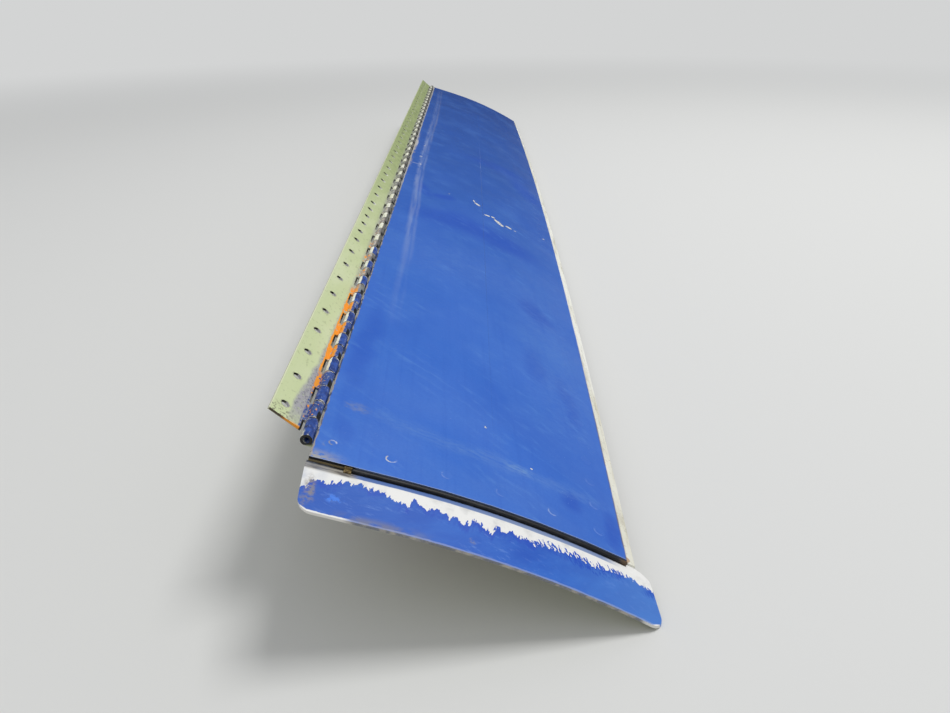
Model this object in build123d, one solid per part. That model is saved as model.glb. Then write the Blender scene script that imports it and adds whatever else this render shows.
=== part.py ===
from build123d import *
import math
import os

# A landing gear door: two riveted skins with a piano hinge along one long edge.
# X runs across the door from the hinge to the free edge, Y along the hinge, Z up.
# Sizes are in millimetres and angles in degrees. While it is modelled, the hinge
# pin lies on the line X = 0, Z = 0 and the first knuckle starts at Y = 0.

# Piano hinge
knuckle_run = 12.7
knuckle_pairs = 39
knuckle_end_gap = 0.5
barrel_diameter = 4.4
pin_diameter = 2.26
pin_running_gap = 0.06
leaf_thickness = 1.0
leaf_width = 16.5
slot_depth = 2.8
knuckle_fillet = 0.5
pin_end_inset = 4.0
frame_leaf_start = 6.4
frame_leaf_angle = 42.0

# Holes that fasten the frame leaf to the airframe
leaf_hole_diameter = 3.4
leaf_hole_reach = 11.6
first_leaf_hole = 14.5
wide_hole_pitch = 22.2
close_hole_pitch = 17.1
wide_holes_before = 9
close_holes = 5
last_hole_margin = 8.0

# Skins: flat beside the hinge, then one long curve to the free edge
outer_skin_thickness = 1.0
inner_skin_thickness = 0.8
skin_gap = 2.7
hinge_side_slope = 17.8
flat_run = 30.0
skin_radius = 400.0
near_overhang = 9.5

# Free edges bulge in a very flat arc; reach is measured along the skin
outer_reach = 131.6
outer_bulge_at = 614.0
outer_edge_radius = 15400.0
lip_reach = 135.9
lip_bulge_at = 582.0
lip_edge_radius = 13200.0

# Pressed bays that stiffen the inner skin
bay_depth = 9.0
bay_wall_angle = 35.0
bay_corner_radius = 20.0
bay_from = 22.0
bay_to = 97.0
end_land = 33.5
link_land = 66.0

# End flange, its seal and its clip
flange_thickness = 1.0
flange_attach_run = 20.5
flange_attach_from = 15.5
flange_flat = 4.2
flange_run = 17.8
flange_slope = 13.0
flange_left = -0.5
flange_shoulder = 129.5
flange_right = 132.5
flange_corner_radius = 4.5
flange_shoulder_radius = 8.0
seal_width = 1.6
seal_height = 1.3
seal_from = 15.0
seal_to = 119.5
clip_length = 2.6
clip_thickness = 0.5

# Flush rivets
rivet_diameter = 3.2
rivet_head_diameter = 5.0
rivet_head_angle = 100.0
rivet_tail_diameter = 4.6
rivet_tail_height = 1.3
rivet_tail_gap = 0.01
countersink_lead = 3.0
end_row_inset = 10.1
end_row_from = 6.0
end_row_pitch = 20.8
end_row_steps = 5
hinge_row_at = 7.6
hinge_row_pitch = 25.4
free_edge_margin = 10.5
free_edge_pitch = 16.5

# Link angles, in two pairs, for the rods that move the door
link_at_near = 345.0
link_at_far = 665.0
link_fork_gap = 13.0
link_thickness = 2.0
link_foot_run = 17.5
link_foot_from = 19.0
link_foot_to = 50.0
link_eye_radius = 9.0
link_eye_at = 24.0
link_floor_gap = 3.0
link_rivet_first = 24.0
link_rivet_pitch = 10.5
link_rivets_per_angle = 3
bush_outer_diameter = 9.5
bush_bore_diameter = 6.4
bush_length = 3.0

# Values that follow from the sizes above
hinge_length = 2 * knuckle_run * knuckle_pairs
barrel_radius = barrel_diameter / 2
stack_top = leaf_thickness + inner_skin_thickness + outer_skin_thickness - barrel_radius
slope = math.radians(hinge_side_slope)
inner_top = -outer_skin_thickness
inner_bottom = inner_top - inner_skin_thickness
near_edge = -near_overhang
end_row_at = near_edge + end_row_inset
far_row_at = hinge_length - end_row_inset
link_places = (link_at_near, link_at_far)


def skin_point(run, offset):
    """X and Z at a distance along the outer face, offset along the outward normal."""
    start_x = skin_gap * math.cos(slope) + stack_top * math.sin(slope)
    start_z = -skin_gap * math.sin(slope) + stack_top * math.cos(slope)
    if run <= flat_run:
        x = start_x + run * math.cos(slope) + offset * math.sin(slope)
        z = start_z - run * math.sin(slope) + offset * math.cos(slope)
        return x, z
    centre_x = start_x + flat_run * math.cos(slope) - skin_radius * math.sin(slope)
    centre_z = start_z - flat_run * math.sin(slope) - skin_radius * math.cos(slope)
    angle = skin_angle(run)
    reach = skin_radius + offset
    return centre_x + reach * math.sin(angle), centre_z + reach * math.cos(angle)


def skin_angle(run):
    """Downward slope of the skin, in radians, at a distance along it."""
    return slope + max(run - flat_run, 0) / skin_radius


def section_face(run_from, run_to, top, bottom, at_y=0.0):
    """Cross-section of a sheet that follows the skin, between two offsets."""
    def place(run, offset):
        x, z = skin_point(run, offset)
        return Vector(x, at_y, z)

    def edges(offset):
        line = []
        bend = max(min(flat_run, run_to), run_from)
        if bend > run_from:
            line.append(Edge.make_line(place(run_from, offset), place(bend, offset)))
        if run_to > bend:
            middle = place((bend + run_to) / 2, offset)
            line.append(Edge.make_three_point_arc(place(bend, offset), middle, place(run_to, offset)))
        return line

    sides = [
        Edge.make_line(place(run_from, top), place(run_from, bottom)),
        Edge.make_line(place(run_to, top), place(run_to, bottom)),
    ]
    return Face(Wire(edges(top) + edges(bottom) + sides))


def sheet(run_from, run_to, top, bottom, y_from, y_to):
    """A sheet that follows the skin, from one Y to another."""
    face = section_face(run_from, run_to, top, bottom, y_from)
    return extrude(face, amount=y_to - y_from, dir=(0, 1, 0))


def edge_reach(reach, bulge_at, radius, y):
    """Distance along the skin to a bulging free edge at one Y."""
    return reach - (y - bulge_at) ** 2 / (2 * radius)


def edge_cutter(reach, bulge_at, radius):
    """Upright cylinder whose wall is the free edge's outline in plan."""
    edge_x = skin_point(reach, 0)[0]
    plan_radius = radius / math.cos(skin_angle(reach))
    return Pos(edge_x - plan_radius, bulge_at, 0) * Cylinder(plan_radius, 400)


def skin_location(run, y, offset=0.0):
    """Frame on the skin whose Z is the outward normal and whose X runs to the free edge."""
    x, z = skin_point(run, offset)
    angle = skin_angle(run)
    across = (math.cos(angle), 0, -math.sin(angle))
    normal = (math.sin(angle), 0, math.cos(angle))
    return Plane(origin=(x, y, z), x_dir=across, z_dir=normal).location


# Fasteners


def head_profile():
    """The countersunk head's outline, from its flat face down to the shank."""
    depth = (rivet_head_diameter - rivet_diameter) / 2
    depth = depth / math.tan(math.radians(rivet_head_angle / 2))
    return [(rivet_head_diameter / 2, 0), (rivet_diameter / 2, -depth)]


def flush_rivet(grip):
    """A flush rivet through the skins, head face at Z = 0 and formed tail below the grip."""
    tail_top = -grip - rivet_tail_gap
    outline = [(0, 0)] + head_profile() + [
        (rivet_diameter / 2, tail_top),
        (rivet_tail_diameter / 2, tail_top),
        (rivet_tail_diameter / 2, tail_top - rivet_tail_height),
        (0, tail_top - rivet_tail_height),
    ]
    return revolve(Plane.XZ * make_face(Polyline(*outline, close=True)), Axis.Z, 360)


def shank_hole(grip):
    """The straight hole that one rivet's shank fills."""
    return Cylinder(rivet_diameter / 2, 4 * grip)


def countersink():
    """The cone that one rivet's head fills, carried on above the skin and into the shank's hole."""
    rim, neck = head_profile()
    taper = math.tan(math.radians(rivet_head_angle / 2))
    tip = neck[0] / 2
    low = neck[1] - (neck[0] - tip) / taper
    mouth = rim[0] + countersink_lead * taper
    return Pos(0, 0, (countersink_lead + low) / 2) * Cone(tip, mouth, countersink_lead - low)


def placed(shape, places):
    """One copy of a shape at each run and Y."""
    return [skin_location(run, y) * shape for run, y in places]


def end_row(y, first, last):
    """Places of the rivets across one end."""
    return [(end_row_from + end_row_pitch * i, y) for i in range(first, last)]


def free_edge_places():
    """Places of the rivets that follow the bulging free edge."""
    first = end_row_at + free_edge_pitch
    last = far_row_at - free_edge_pitch
    count = int((last - first) / free_edge_pitch) + 1
    rows = [first + free_edge_pitch * i for i in range(count)]
    reaches = [edge_reach(outer_reach, outer_bulge_at, outer_edge_radius, y) for y in rows]
    return [(reach - free_edge_margin, y) for reach, y in zip(reaches, rows)]


def hinge_row_places():
    """Places of the rivets through the skins and the door's hinge leaf."""
    count = int((far_row_at - end_row_at) / hinge_row_pitch)
    rows = [end_row_at + hinge_row_pitch * (i + 1) for i in range(count)]
    return [(hinge_row_at, y) for y in rows]


def link_rivet_places():
    """Places of the rivets through the feet of the four link angles."""
    foot_middle = link_fork_gap / 2 + link_thickness + link_foot_run / 2
    runs = [link_rivet_first + link_rivet_pitch * i for i in range(link_rivets_per_angle)]
    return [(run, at + side * foot_middle) for at in link_places for side in (-1, 1) for run in runs]


def near_end_places():
    """Places across the near end, the last one in line with the free edge's row."""
    edge_run = edge_reach(outer_reach, outer_bulge_at, outer_edge_radius, end_row_at) - free_edge_margin
    return end_row(end_row_at, 0, end_row_steps) + [(edge_run, end_row_at)]


skin_grip = outer_skin_thickness + inner_skin_thickness
rivet_rows = {
    "near_end_rivets": (near_end_places(), skin_grip + flange_thickness),
    "far_end_rivets": (end_row(far_row_at, 1, end_row_steps + 1), skin_grip),
    "hinge_row_rivets": (hinge_row_places(), skin_grip + leaf_thickness),
    "free_edge_rivets": (free_edge_places(), skin_grip),
    "link_angle_rivets": (link_rivet_places(), skin_grip + link_thickness),
}


def drilled(metal, *rows):
    """A sheet with the rivet holes of the named rows drilled and then countersunk."""
    for row in rows:
        places, grip = rivet_rows[row]
        metal = metal - placed(shank_hole(grip), places)
    for row in rows:
        places, grip = rivet_rows[row]
        metal = metal - placed(countersink(), places)
    return metal


# Hinge


def knuckle_face():
    """Section of one knuckle with its root: X runs along the leaf and Y outward."""
    root_width = slot_depth + leaf_thickness
    root = Pos(root_width / 2, -barrel_radius + leaf_thickness / 2) * Rectangle(root_width, leaf_thickness)
    section = Circle(barrel_radius) + root
    leaf_top = leaf_thickness - barrel_radius
    corner = (math.sqrt(barrel_radius ** 2 - leaf_top ** 2), leaf_top)
    section = fillet(section.vertices().sort_by_distance(corner)[0], knuckle_fillet)
    return section - Circle(pin_diameter / 2 + pin_running_gap)


def plate_face():
    """Section of the flat leaf between its knuckle slots and its outer edge."""
    width = leaf_width - slot_depth
    return Pos(slot_depth + width / 2, -barrel_radius + leaf_thickness / 2) * Rectangle(width, leaf_thickness)


def door_leaf_plane(y):
    """Plane across the pin whose X follows the flat of the skin."""
    return Plane(origin=(0, y, 0), x_dir=(math.cos(slope), 0, -math.sin(slope)), z_dir=(0, -1, 0))


def frame_leaf_plane(y):
    """Plane across the pin whose X points up and away from the door."""
    angle = math.radians(frame_leaf_angle)
    return Plane(origin=(0, y, 0), x_dir=(-math.cos(angle), 0, math.sin(angle)), z_dir=(0, 1, 0))


def hinge_leaf(plane_at, first_knuckle, y_from):
    """A leaf with every second knuckle of the hinge."""
    plate = extrude(plane_at(y_from) * plate_face(), amount=hinge_length - y_from, dir=(0, 1, 0))
    starts = [first_knuckle + 2 * knuckle_run * i + knuckle_end_gap / 2 for i in range(knuckle_pairs)]
    run = knuckle_run - knuckle_end_gap
    knuckles = [extrude(plane_at(y) * knuckle_face(), amount=run, dir=(0, 1, 0)) for y in starts]
    return plate + knuckles


def leaf_hole_places():
    """Y of each airframe hole: a wide pitch, a few close ones, then wide again."""
    places = [first_leaf_hole]
    while places[-1] + wide_hole_pitch < hinge_length - last_hole_margin:
        done = len(places) - 1
        close = wide_holes_before <= done < wide_holes_before + close_holes
        places.append(places[-1] + (close_hole_pitch if close else wide_hole_pitch))
    return places


def frame_leaf_holes():
    """Drills for the airframe holes."""
    drill = Cylinder(leaf_hole_diameter / 2, 4 * barrel_diameter)
    upright = Rotation(90, 0, 0) * drill
    return [frame_leaf_plane(y).location * Pos(leaf_hole_reach, 0, 0) * upright for y in leaf_hole_places()]


def along_y(radius, y_from, y_to, x=0.0, z=0.0):
    """A round bar along Y."""
    bar = Rotation(90, 0, 0) * Cylinder(radius, y_to - y_from)
    return Pos(x, (y_from + y_to) / 2, z) * bar


door_hinge_leaf = drilled(hinge_leaf(door_leaf_plane, 0, near_edge), "near_end_rivets", "hinge_row_rivets")
frame_hinge_leaf = hinge_leaf(frame_leaf_plane, knuckle_run, frame_leaf_start) - frame_leaf_holes()
hinge_pin = along_y(pin_diameter / 2, pin_end_inset, hinge_length - pin_end_inset)


# Skins


def bay_form(y_from, y_to, grow):
    """Tapered block with round corners that shapes one pressed bay."""
    middle_run = (bay_from + bay_to) / 2
    middle_y = (y_from + y_to) / 2
    taper = math.tan(math.radians(bay_wall_angle))

    def level(offset):
        side = grow + (offset - inner_bottom) * taper
        width = bay_to - bay_from + 2 * side
        length = y_to - y_from + 2 * side
        outline = RectangleRounded(width, length, bay_corner_radius + side)
        return skin_location(middle_run, middle_y, offset) * outline

    lower = inner_bottom - 1.5 * bay_depth
    return loft([level(0), level(lower)], ruled=True)


def pressed_bays(base):
    """The inner skin's sheet with its bays pressed in."""
    edges = [near_edge + end_land]
    for place in link_places:
        edges += [place - link_land / 2, place + link_land / 2]
    edges.append(hinge_length - end_land)
    floor_offset = inner_bottom - bay_depth
    wall = inner_skin_thickness / math.cos(math.radians(bay_wall_angle))
    mid_sheet = (inner_top + inner_bottom) / 2
    for y_from, y_to in zip(edges[0::2], edges[1::2]):
        low_y, high_y = y_from - end_land, y_to + end_land
        outside = sheet(0, lip_reach, mid_sheet, floor_offset, low_y, high_y)
        inside = sheet(0, lip_reach, 0, floor_offset + inner_skin_thickness, low_y, high_y)
        base = base + (outside & bay_form(y_from, y_to, 0))
        base = base - (inside & bay_form(y_from, y_to, -wall))
    return base


outer_skin = sheet(0, outer_reach + outer_skin_thickness, 0, inner_top, near_edge, hinge_length)
outer_skin = outer_skin & edge_cutter(outer_reach, outer_bulge_at, outer_edge_radius)
outer_skin = drilled(outer_skin, *rivet_rows)
inner_skin = sheet(0, lip_reach + inner_skin_thickness, inner_top, inner_bottom, near_edge, hinge_length)
inner_skin = inner_skin & edge_cutter(lip_reach, lip_bulge_at, lip_edge_radius)
inner_skin = drilled(pressed_bays(inner_skin), *rivet_rows)


# Near end


def flange_outline():
    """The end flange's outline in plan, from the skins' near edge outward."""
    end_y = near_edge - flange_flat - flange_run * math.cos(math.radians(flange_slope))
    lip_end = edge_reach(lip_reach, lip_bulge_at, lip_edge_radius, near_edge)
    shoulder_y = near_edge - flange_flat / 2
    left_x = skin_point(flange_left, inner_bottom)[0]
    points = [
        (left_x, near_edge),
        (left_x, end_y),
        (skin_point(flange_right, inner_bottom)[0], end_y),
        (skin_point(flange_shoulder, inner_bottom)[0], shoulder_y),
        (skin_point(lip_end, inner_bottom)[0], near_edge),
    ]
    face = make_face(Polyline(*points, close=True))
    corners = face.vertices().group_by(Axis.Y)[0]
    face = fillet(corners, flange_corner_radius)
    shoulder = face.vertices().filter_by(lambda corner: abs(corner.Y - shoulder_y) < 0.01)
    face = fillet(shoulder, min(flange_shoulder_radius, flange_run / 3))
    return face


def make_end_flange():
    """Attach leg under the skins, a short flat, then the flange that slopes down."""
    top = inner_bottom
    bottom = top - flange_thickness
    reach = flange_right + flange_corner_radius
    leg = sheet(flange_attach_from, reach, top, bottom, near_edge, near_edge + flange_attach_run)
    leg = leg & edge_cutter(outer_reach, outer_bulge_at, outer_edge_radius)
    bend_y = near_edge - flange_flat
    flat = sheet(flange_left - flange_corner_radius, reach, top, bottom, bend_y, near_edge)
    angle = math.radians(flange_slope)
    drop = flange_run * math.sin(angle)
    end_y = bend_y - flange_run * math.cos(angle)
    start = section_face(flange_left - flange_corner_radius, reach, top, bottom, bend_y)
    end = section_face(flange_left - flange_corner_radius, reach, top - drop, bottom - drop, end_y)
    tab = (flat + loft([start, end], ruled=True)) & extrude(flange_outline(), amount=200, both=True)
    return leg + tab


def make_seal_clip():
    """Small bent clip that closes the left end of the seal's channel."""
    run_from = seal_from - clip_length
    foot_end = near_edge - seal_width - clip_thickness
    top = inner_bottom + seal_height
    upright = sheet(run_from, seal_from, top, inner_bottom, near_edge - clip_thickness, near_edge)
    foot = sheet(run_from, seal_from, inner_bottom + clip_thickness, inner_bottom, foot_end, near_edge)
    return upright + foot


end_flange = drilled(make_end_flange(), "near_end_rivets")
seal_top = inner_bottom + seal_height
end_seal = sheet(seal_from, seal_to, seal_top, inner_bottom, near_edge - seal_width, near_edge)
seal_clip = make_seal_clip()
floor_level = min(inner_skin.bounding_box().min.Z, end_flange.bounding_box().min.Z)
link_eye_level = floor_level + link_floor_gap + link_eye_radius


# Link angles


def link_angle(at, side):
    """One angle: a foot under the inner skin and a lug that tapers down to its eye."""
    lug_near = at + side * link_fork_gap / 2
    lug_far = lug_near + side * link_thickness
    foot_end = lug_far + side * link_foot_run
    low, high = sorted((lug_near, foot_end))
    foot = sheet(link_foot_from, link_foot_to, inner_bottom, inner_bottom - link_thickness, low, high)
    root = inner_bottom - link_thickness / 2
    ends = [skin_point(link_foot_from, root), skin_point(link_foot_to, root)]
    eye = Pos(link_eye_at, link_eye_level) * Circle(link_eye_radius)
    lug_face = make_hull([eye.edge(), Edge.make_line(*[Vector(x, z, 0) for x, z in ends])])
    low, high = sorted((lug_near, lug_far))
    across = Plane(origin=(0, low, 0), x_dir=(1, 0, 0), z_dir=(0, -1, 0))
    lug = extrude(across * lug_face, amount=high - low, dir=(0, 1, 0))
    hole = along_y(bush_outer_diameter / 2, low - 1, high + 1, link_eye_at, link_eye_level)
    return foot + lug - hole


def link_bush(at, side):
    """Bush in one lug, flush with the lug on the fork's side."""
    inner_face = at + side * link_fork_gap / 2
    low, high = sorted((inner_face, inner_face + side * bush_length))
    body = along_y(bush_outer_diameter / 2, low, high, link_eye_at, link_eye_level)
    return body - along_y(bush_bore_diameter / 2, low, high, link_eye_at, link_eye_level)


link_bushes = [link_bush(at, side) for at in link_places for side in (-1, 1)]

parts = {
    "outer_skin": outer_skin,
    "inner_skin": inner_skin,
    "end_flange": end_flange,
    "end_seal": end_seal,
    "seal_clip": seal_clip,
    "door_hinge_leaf": door_hinge_leaf,
    "frame_hinge_leaf": frame_hinge_leaf,
    "hinge_pin": hinge_pin,
    "link_bushes": Compound(link_bushes),
    "near_link_angle_left": drilled(link_angle(link_at_near, -1), "link_angle_rivets"),
    "near_link_angle_right": drilled(link_angle(link_at_near, 1), "link_angle_rivets"),
    "far_link_angle_left": drilled(link_angle(link_at_far, -1), "link_angle_rivets"),
    "far_link_angle_right": drilled(link_angle(link_at_far, 1), "link_angle_rivets"),
}

for row, (places, grip) in rivet_rows.items():
    parts[row] = Compound(placed(flush_rivet(grip), places))

# The part stands on Z = 0, with the middle of its footprint box at the origin
box = Compound(list(parts.values())).bounding_box()
origin_shift = Pos(-box.center().X, -box.center().Y, -box.min.Z)
os.makedirs("parts", exist_ok=True)
for name, shape in parts.items():
    export_step(origin_shift * shape, f"parts/{name}.step")
print("pin line:", -box.center().X, -box.center().Y, -box.min.Z)
print("link eyes:", link_eye_at - box.center().X, link_eye_level - box.min.Z)
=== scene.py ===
import math

import bmesh
import bpy
import numpy as np
from mathutils import Matrix, Vector


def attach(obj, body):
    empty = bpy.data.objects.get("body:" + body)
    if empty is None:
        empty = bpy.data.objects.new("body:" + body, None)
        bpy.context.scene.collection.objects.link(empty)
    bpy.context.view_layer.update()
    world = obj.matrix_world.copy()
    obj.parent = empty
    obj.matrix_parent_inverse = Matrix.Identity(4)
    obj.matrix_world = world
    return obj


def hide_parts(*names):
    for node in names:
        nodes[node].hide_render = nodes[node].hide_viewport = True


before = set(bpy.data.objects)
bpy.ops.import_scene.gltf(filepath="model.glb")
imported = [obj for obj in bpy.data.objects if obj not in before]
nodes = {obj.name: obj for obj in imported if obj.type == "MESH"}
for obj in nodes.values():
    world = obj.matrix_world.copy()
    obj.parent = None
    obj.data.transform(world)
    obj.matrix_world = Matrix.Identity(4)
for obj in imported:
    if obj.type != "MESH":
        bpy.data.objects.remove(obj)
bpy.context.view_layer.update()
scene = bpy.context.scene


# Camera
# It stands at the door's flanged near end, a little above it, and looks along the hinge.
# Position in metres and angles were fitted to the knuckles and edges of the door.
camera_place = Vector((0.00299, -0.72120, 0.20364))
look_down = math.radians(25.165)
look_aside = math.radians(-0.130)
camera_roll = math.radians(-0.8425)
focal_px = 808.84
image_width_px = 950
sensor_mm = 36

forward = Vector((
    math.sin(look_aside) * math.cos(look_down),
    math.cos(look_aside) * math.cos(look_down),
    -math.sin(look_down),
))
level_right = Vector((math.cos(look_aside), -math.sin(look_aside), 0))
level_up = level_right.cross(forward)
image_right = math.cos(camera_roll) * level_right + math.sin(camera_roll) * level_up
image_up = math.cos(camera_roll) * level_up - math.sin(camera_roll) * level_right
camera_data = bpy.data.cameras.new("camera")
camera_data.sensor_width = sensor_mm
camera_data.lens = sensor_mm * focal_px / image_width_px
camera_data.clip_start = 0.01
camera = bpy.data.objects.new("camera", camera_data)
turn = Matrix((image_right, image_up, -forward)).transposed()
camera.matrix_world = Matrix.Translation(camera_place) @ turn.to_4x4()
scene.collection.objects.link(camera)
scene.camera = camera


# Floor and light
# A plain pale floor and backdrop, an even surround, a large soft lamp high on the right and
# a weak one in front on the left, so that the near flange throws a shadow under itself.
floor_half = 30.0
floor_pale = "#DEDEDB"
far_floor_pale = "#D3D4D4"
far_floor_from, far_floor_to = 0.7, 1.8
surround_white = "#F4F6FA"
surround_strength = 0.54
reflected_strength = 0.10
key_lamp_watts = 22.5
fill_lamp_watts = 1.2
lamps = (
    # name, place, aimed at and side of the square in metres, watts
    ("key_lamp", (0.75, 0.10, 1.9), (0.0, -0.1, 0.0), 0.7, key_lamp_watts),
    ("fill_lamp", (-0.7, -1.3, 1.3), (0.0, -0.3, 0.0), 1.2, fill_lamp_watts),
)


def linear(code):
    """Turns an sRGB hex colour into the linear colour that the shaders take."""
    parts = [int(code[i:i + 2], 16) / 255 for i in (1, 3, 5)]
    bent = [c / 12.92 if c <= 0.04045 else ((c + 0.055) / 1.055) ** 2.4 for c in parts]
    return (*bent, 1.0)


def add(tree, kind, settings=None, links=None):
    """Adds a node. Settings are its properties or unlinked inputs, links are its linked inputs."""
    made = tree.nodes.new(kind)
    for key, value in (settings or {}).items():
        if isinstance(key, str) and hasattr(made, key):
            setattr(made, key, value)
        else:
            made.inputs[key].default_value = value
    for key, socket in (links or {}).items():
        tree.links.new(socket, made.inputs[key])
    return made


def new_material(name):
    """An empty material with its output node, and the shader tree to fill."""
    material = bpy.data.materials.new(name)
    material.use_nodes = True
    material.node_tree.nodes.clear()
    return material, material.node_tree


def finish_material(tree, shader):
    """Joins the shader to the material's output."""
    add(tree, "ShaderNodeOutputMaterial", links={"Surface": shader.outputs[0]})


corner_signs = ((-1, -1), (1, -1), (1, 1), (-1, 1))
floor_mesh = bpy.data.meshes.new("studio_floor")
corners = [(floor_half * x, floor_half * y, 0) for x, y in corner_signs]
floor_mesh.from_pydata(corners, [], [(0, 1, 2, 3)])
floor = bpy.data.objects.new("studio_floor", floor_mesh)
scene.collection.objects.link(floor)
floor_paint, tree = new_material("matt floor paint")
floor_place = add(tree, "ShaderNodeTexCoord").outputs["Object"]
away = add(tree, "ShaderNodeVectorMath", {"operation": "LENGTH"}, {0: floor_place}).outputs["Value"]
fade = {"From Min": far_floor_from, "From Max": far_floor_to, "interpolation_type": "SMOOTHSTEP"}
distant = add(tree, "ShaderNodeMapRange", fade, {"Value": away}).outputs[0]
seen = add(tree, "ShaderNodeLightPath").outputs["Is Camera Ray"]
glowing = add(tree, "ShaderNodeMath", {"operation": "MULTIPLY"}, {0: distant, 1: seen}).outputs[0]
matt = add(tree, "ShaderNodeBsdfPrincipled", {"Base Color": linear(floor_pale), "Roughness": 0.9})
plain = add(tree, "ShaderNodeEmission", {"Color": linear(far_floor_pale)})
mixed = {0: glowing, 1: matt.outputs[0], 2: plain.outputs[0]}
finish_material(tree, add(tree, "ShaderNodeMixShader", links=mixed))
floor_mesh.materials.append(floor_paint)

world = bpy.data.worlds.new("surround")
world.use_nodes = True
tree = world.node_tree
tree.nodes.clear()
reflected = add(tree, "ShaderNodeLightPath").outputs["Is Glossy Ray"]
dimmed = {"data_type": "FLOAT", 2: surround_strength, 3: reflected_strength}
strength = add(tree, "ShaderNodeMix", dimmed, {0: reflected}).outputs[0]
looked_at = add(tree, "ShaderNodeLightPath").outputs["Is Camera Ray"]
surround = add(
    tree, "ShaderNodeBackground", {"Color": linear(surround_white)}, {"Strength": strength}
)
backdrop = add(tree, "ShaderNodeBackground", {"Color": linear(far_floor_pale)})
one_of_two = {0: looked_at, 1: surround.outputs[0], 2: backdrop.outputs[0]}
shown = add(tree, "ShaderNodeMixShader", links=one_of_two)
add(tree, "ShaderNodeOutputWorld", links={"Surface": shown.outputs[0]})
scene.world = world

for name, place, aim, size, watts in lamps:
    lamp_data = bpy.data.lights.new(name, "AREA")
    lamp_data.shape = "SQUARE"
    lamp_data.size = size
    lamp_data.energy = watts
    lamp = bpy.data.objects.new(name, lamp_data)
    lamp.location = place
    lamp.rotation_euler = (Vector(aim) - Vector(place)).to_track_quat("-Z", "Y").to_euler()
    scene.collection.objects.link(lamp)
scene.view_settings.view_transform = "Standard"


# Outer skin
# Formed aluminium sheet with an old coat of gloss blue paint: cloudy, wiped and finely
# scratched, chipped to the white undercoat, and worn bare along the hinge edge.
paint_blue = "#3A73D4"
deep_blue = "#285EC3"
far_blue = "#1A4B9E"
chalky_blue = "#568AD8"
bruise_blue = "#1B52C0"
haze_blue = "#7FA6D2"
undercoat_white = "#E6E5DC"
edge_tan = "#A89B80"
dust_blue = "#6189CC"
scratch_blue = "#86A2DC"
# painted highlight along the crease beside the hinge, with grey on its second line
crease_highlight_blue = "#9FB0D4"
streak_grey = "#8E8F98"
rub_white = "#C9CEDB"
bare_metal = "#B7B4AE"
edge_grime = "#4E4A40"
pale_tan = "#C3BCAE"
corner_dust = "#B1ADA0"
smudge_grey = "#8D93A0"
chip_rim_blue = "#27407F"
rim_brown = "#6B6468"
free_edge_rust = "#6E5140"
free_edge_bare = "#B0A68F"
near_line_pale = "#A9B9DA"
end_face_blue = "#5E6C8C"
# painted black shadow on the near end's face beside the hinge
end_face_shadow_black = "#131415"
side_grime = "#5A554C"
side_bare = "#B9B3A4"
side_bright = "#B5B1A8"
underside_primer = "#B9BC9A"
near_edge_y = -489.28
hinge_edge_x = -53.74
blue_reach_x = 66.6
blue_bulge_y = 134.2
blue_plan_radius = 18200.0
blue_fading = (
    # y in mm and the share of the near end's blue in the mix with the far end's
    (-512, 1.0), (-400, 0.94), (-230, 0.84), (-120, 0.64), (-20, 0.46), (120, 0.34),
    (300, 0.26), (512, 0.0),
)
crease_highlight_strength = (
    # y in mm and how strong the painted highlight along the crease beside the hinge is
    (-370, 0), (-260, 0.4), (-150, 1), (100, 1), (300, 0.45), (470, 0.3), (505, 0),
)
worn_line = (
    # y and the width in mm that is worn bare along the hinge edge
    (-512, 0.45), (-250, 0.45), (-100, 0.9), (512, 1.3),
)
streak_line = (
    # y and x in mm of the crease's crown
    (-370, -37.8), (-302, -38.6), (-229, -39.4), (-144, -41.0), (-65, -43.1), (0, -43.8),
    (81, -43.6), (160, -43.4), (219, -42.4), (345, -43.0), (510, -45.4),
)
rub_marks = (
    # x, y, half length, half width in mm, turn in degrees, strength
    (-45.2, 24.0, 1.2, 3.0, 0, 0.5),
    (-52.1, 80.0, 1.2, 14.0, 0, 0.8),
    (-48.4, -9.5, 3.6, 1.1, 4, 0.4),
    (-44.6, 78.0, 0.9, 4.0, 0, 0.5),
    (-43.9, -8.0, 0.8, 3.0, 0, 0.6),
)
smudges = (
    # x, y, half length, half width in mm, turn in degrees, strength
    (-42.9, -449.5, 4.4, 3.0, -12, 0.36),
    (-49.2, -479.6, 1.7, 1.7, 0, 0.6),
)
chips = (
    # x, y, half length, half width in mm, turn in degrees
    (2.6, -76.5, 3.4, 0.55, -75),
    (5.3, -82.9, 3.2, 1.5, -55),
    (12.6, -105.1, 2.4, 1.5, 25),
    (17.2, -103.4, 1.4, 1.5, 0),
    (21.5, -112.6, 6.6, 1.9, -62),
    (29.0, -113.2, 2.7, 1.8, -39),
    (33.9, -114.8, 1.1, 0.6, -20),
    (57.8, -93.6, 0.8, 1.0, 0),
    (-17.2, -81.0, 0.8, 0.5, 0),
    (23.7, -455.5, 0.55, 0.5, 0),
    (6.1, -436.2, 0.5, 0.7, 0),
)
bruises = (
    # x, y, half length, half width in mm, turn in degrees, strength
    (-18.7, -95.3, 8.0, 4.5, 60, 0.45),
    (-36.1, -91.2, 17.4, 5.0, -79, 0.6),
    (-21.5, -97.7, 6.4, 9.0, -36, 0.5),
    (-17.0, -150.9, 24.0, 17.0, 31, 0.6),
    (17.3, -161.3, 27.0, 18.0, -21, 0.7),
    (26.8, 96.7, 26.0, 16.0, 17, 0.5),
    (50.9, 50.9, 36.0, 10.0, -78, 0.5),
    (37.9, -277.7, 17.0, 6.6, -78, 0.6),
    (32.9, -356.1, 17.6, 4.5, -91, 0.35),
    (46.1, -381.9, 21.3, 3.4, -89, 0.4),
    (37.1, -468.6, 3.6, 6.0, -8, 0.7),
    (53.0, -475.8, 8.8, 2.9, -87, 0.7),
    (-46.4, -394.0, 40.0, 4.2, -92, 0.45),
    (-45.9, -468.5, 8.8, 3.1, -84, 0.3),
)
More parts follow.
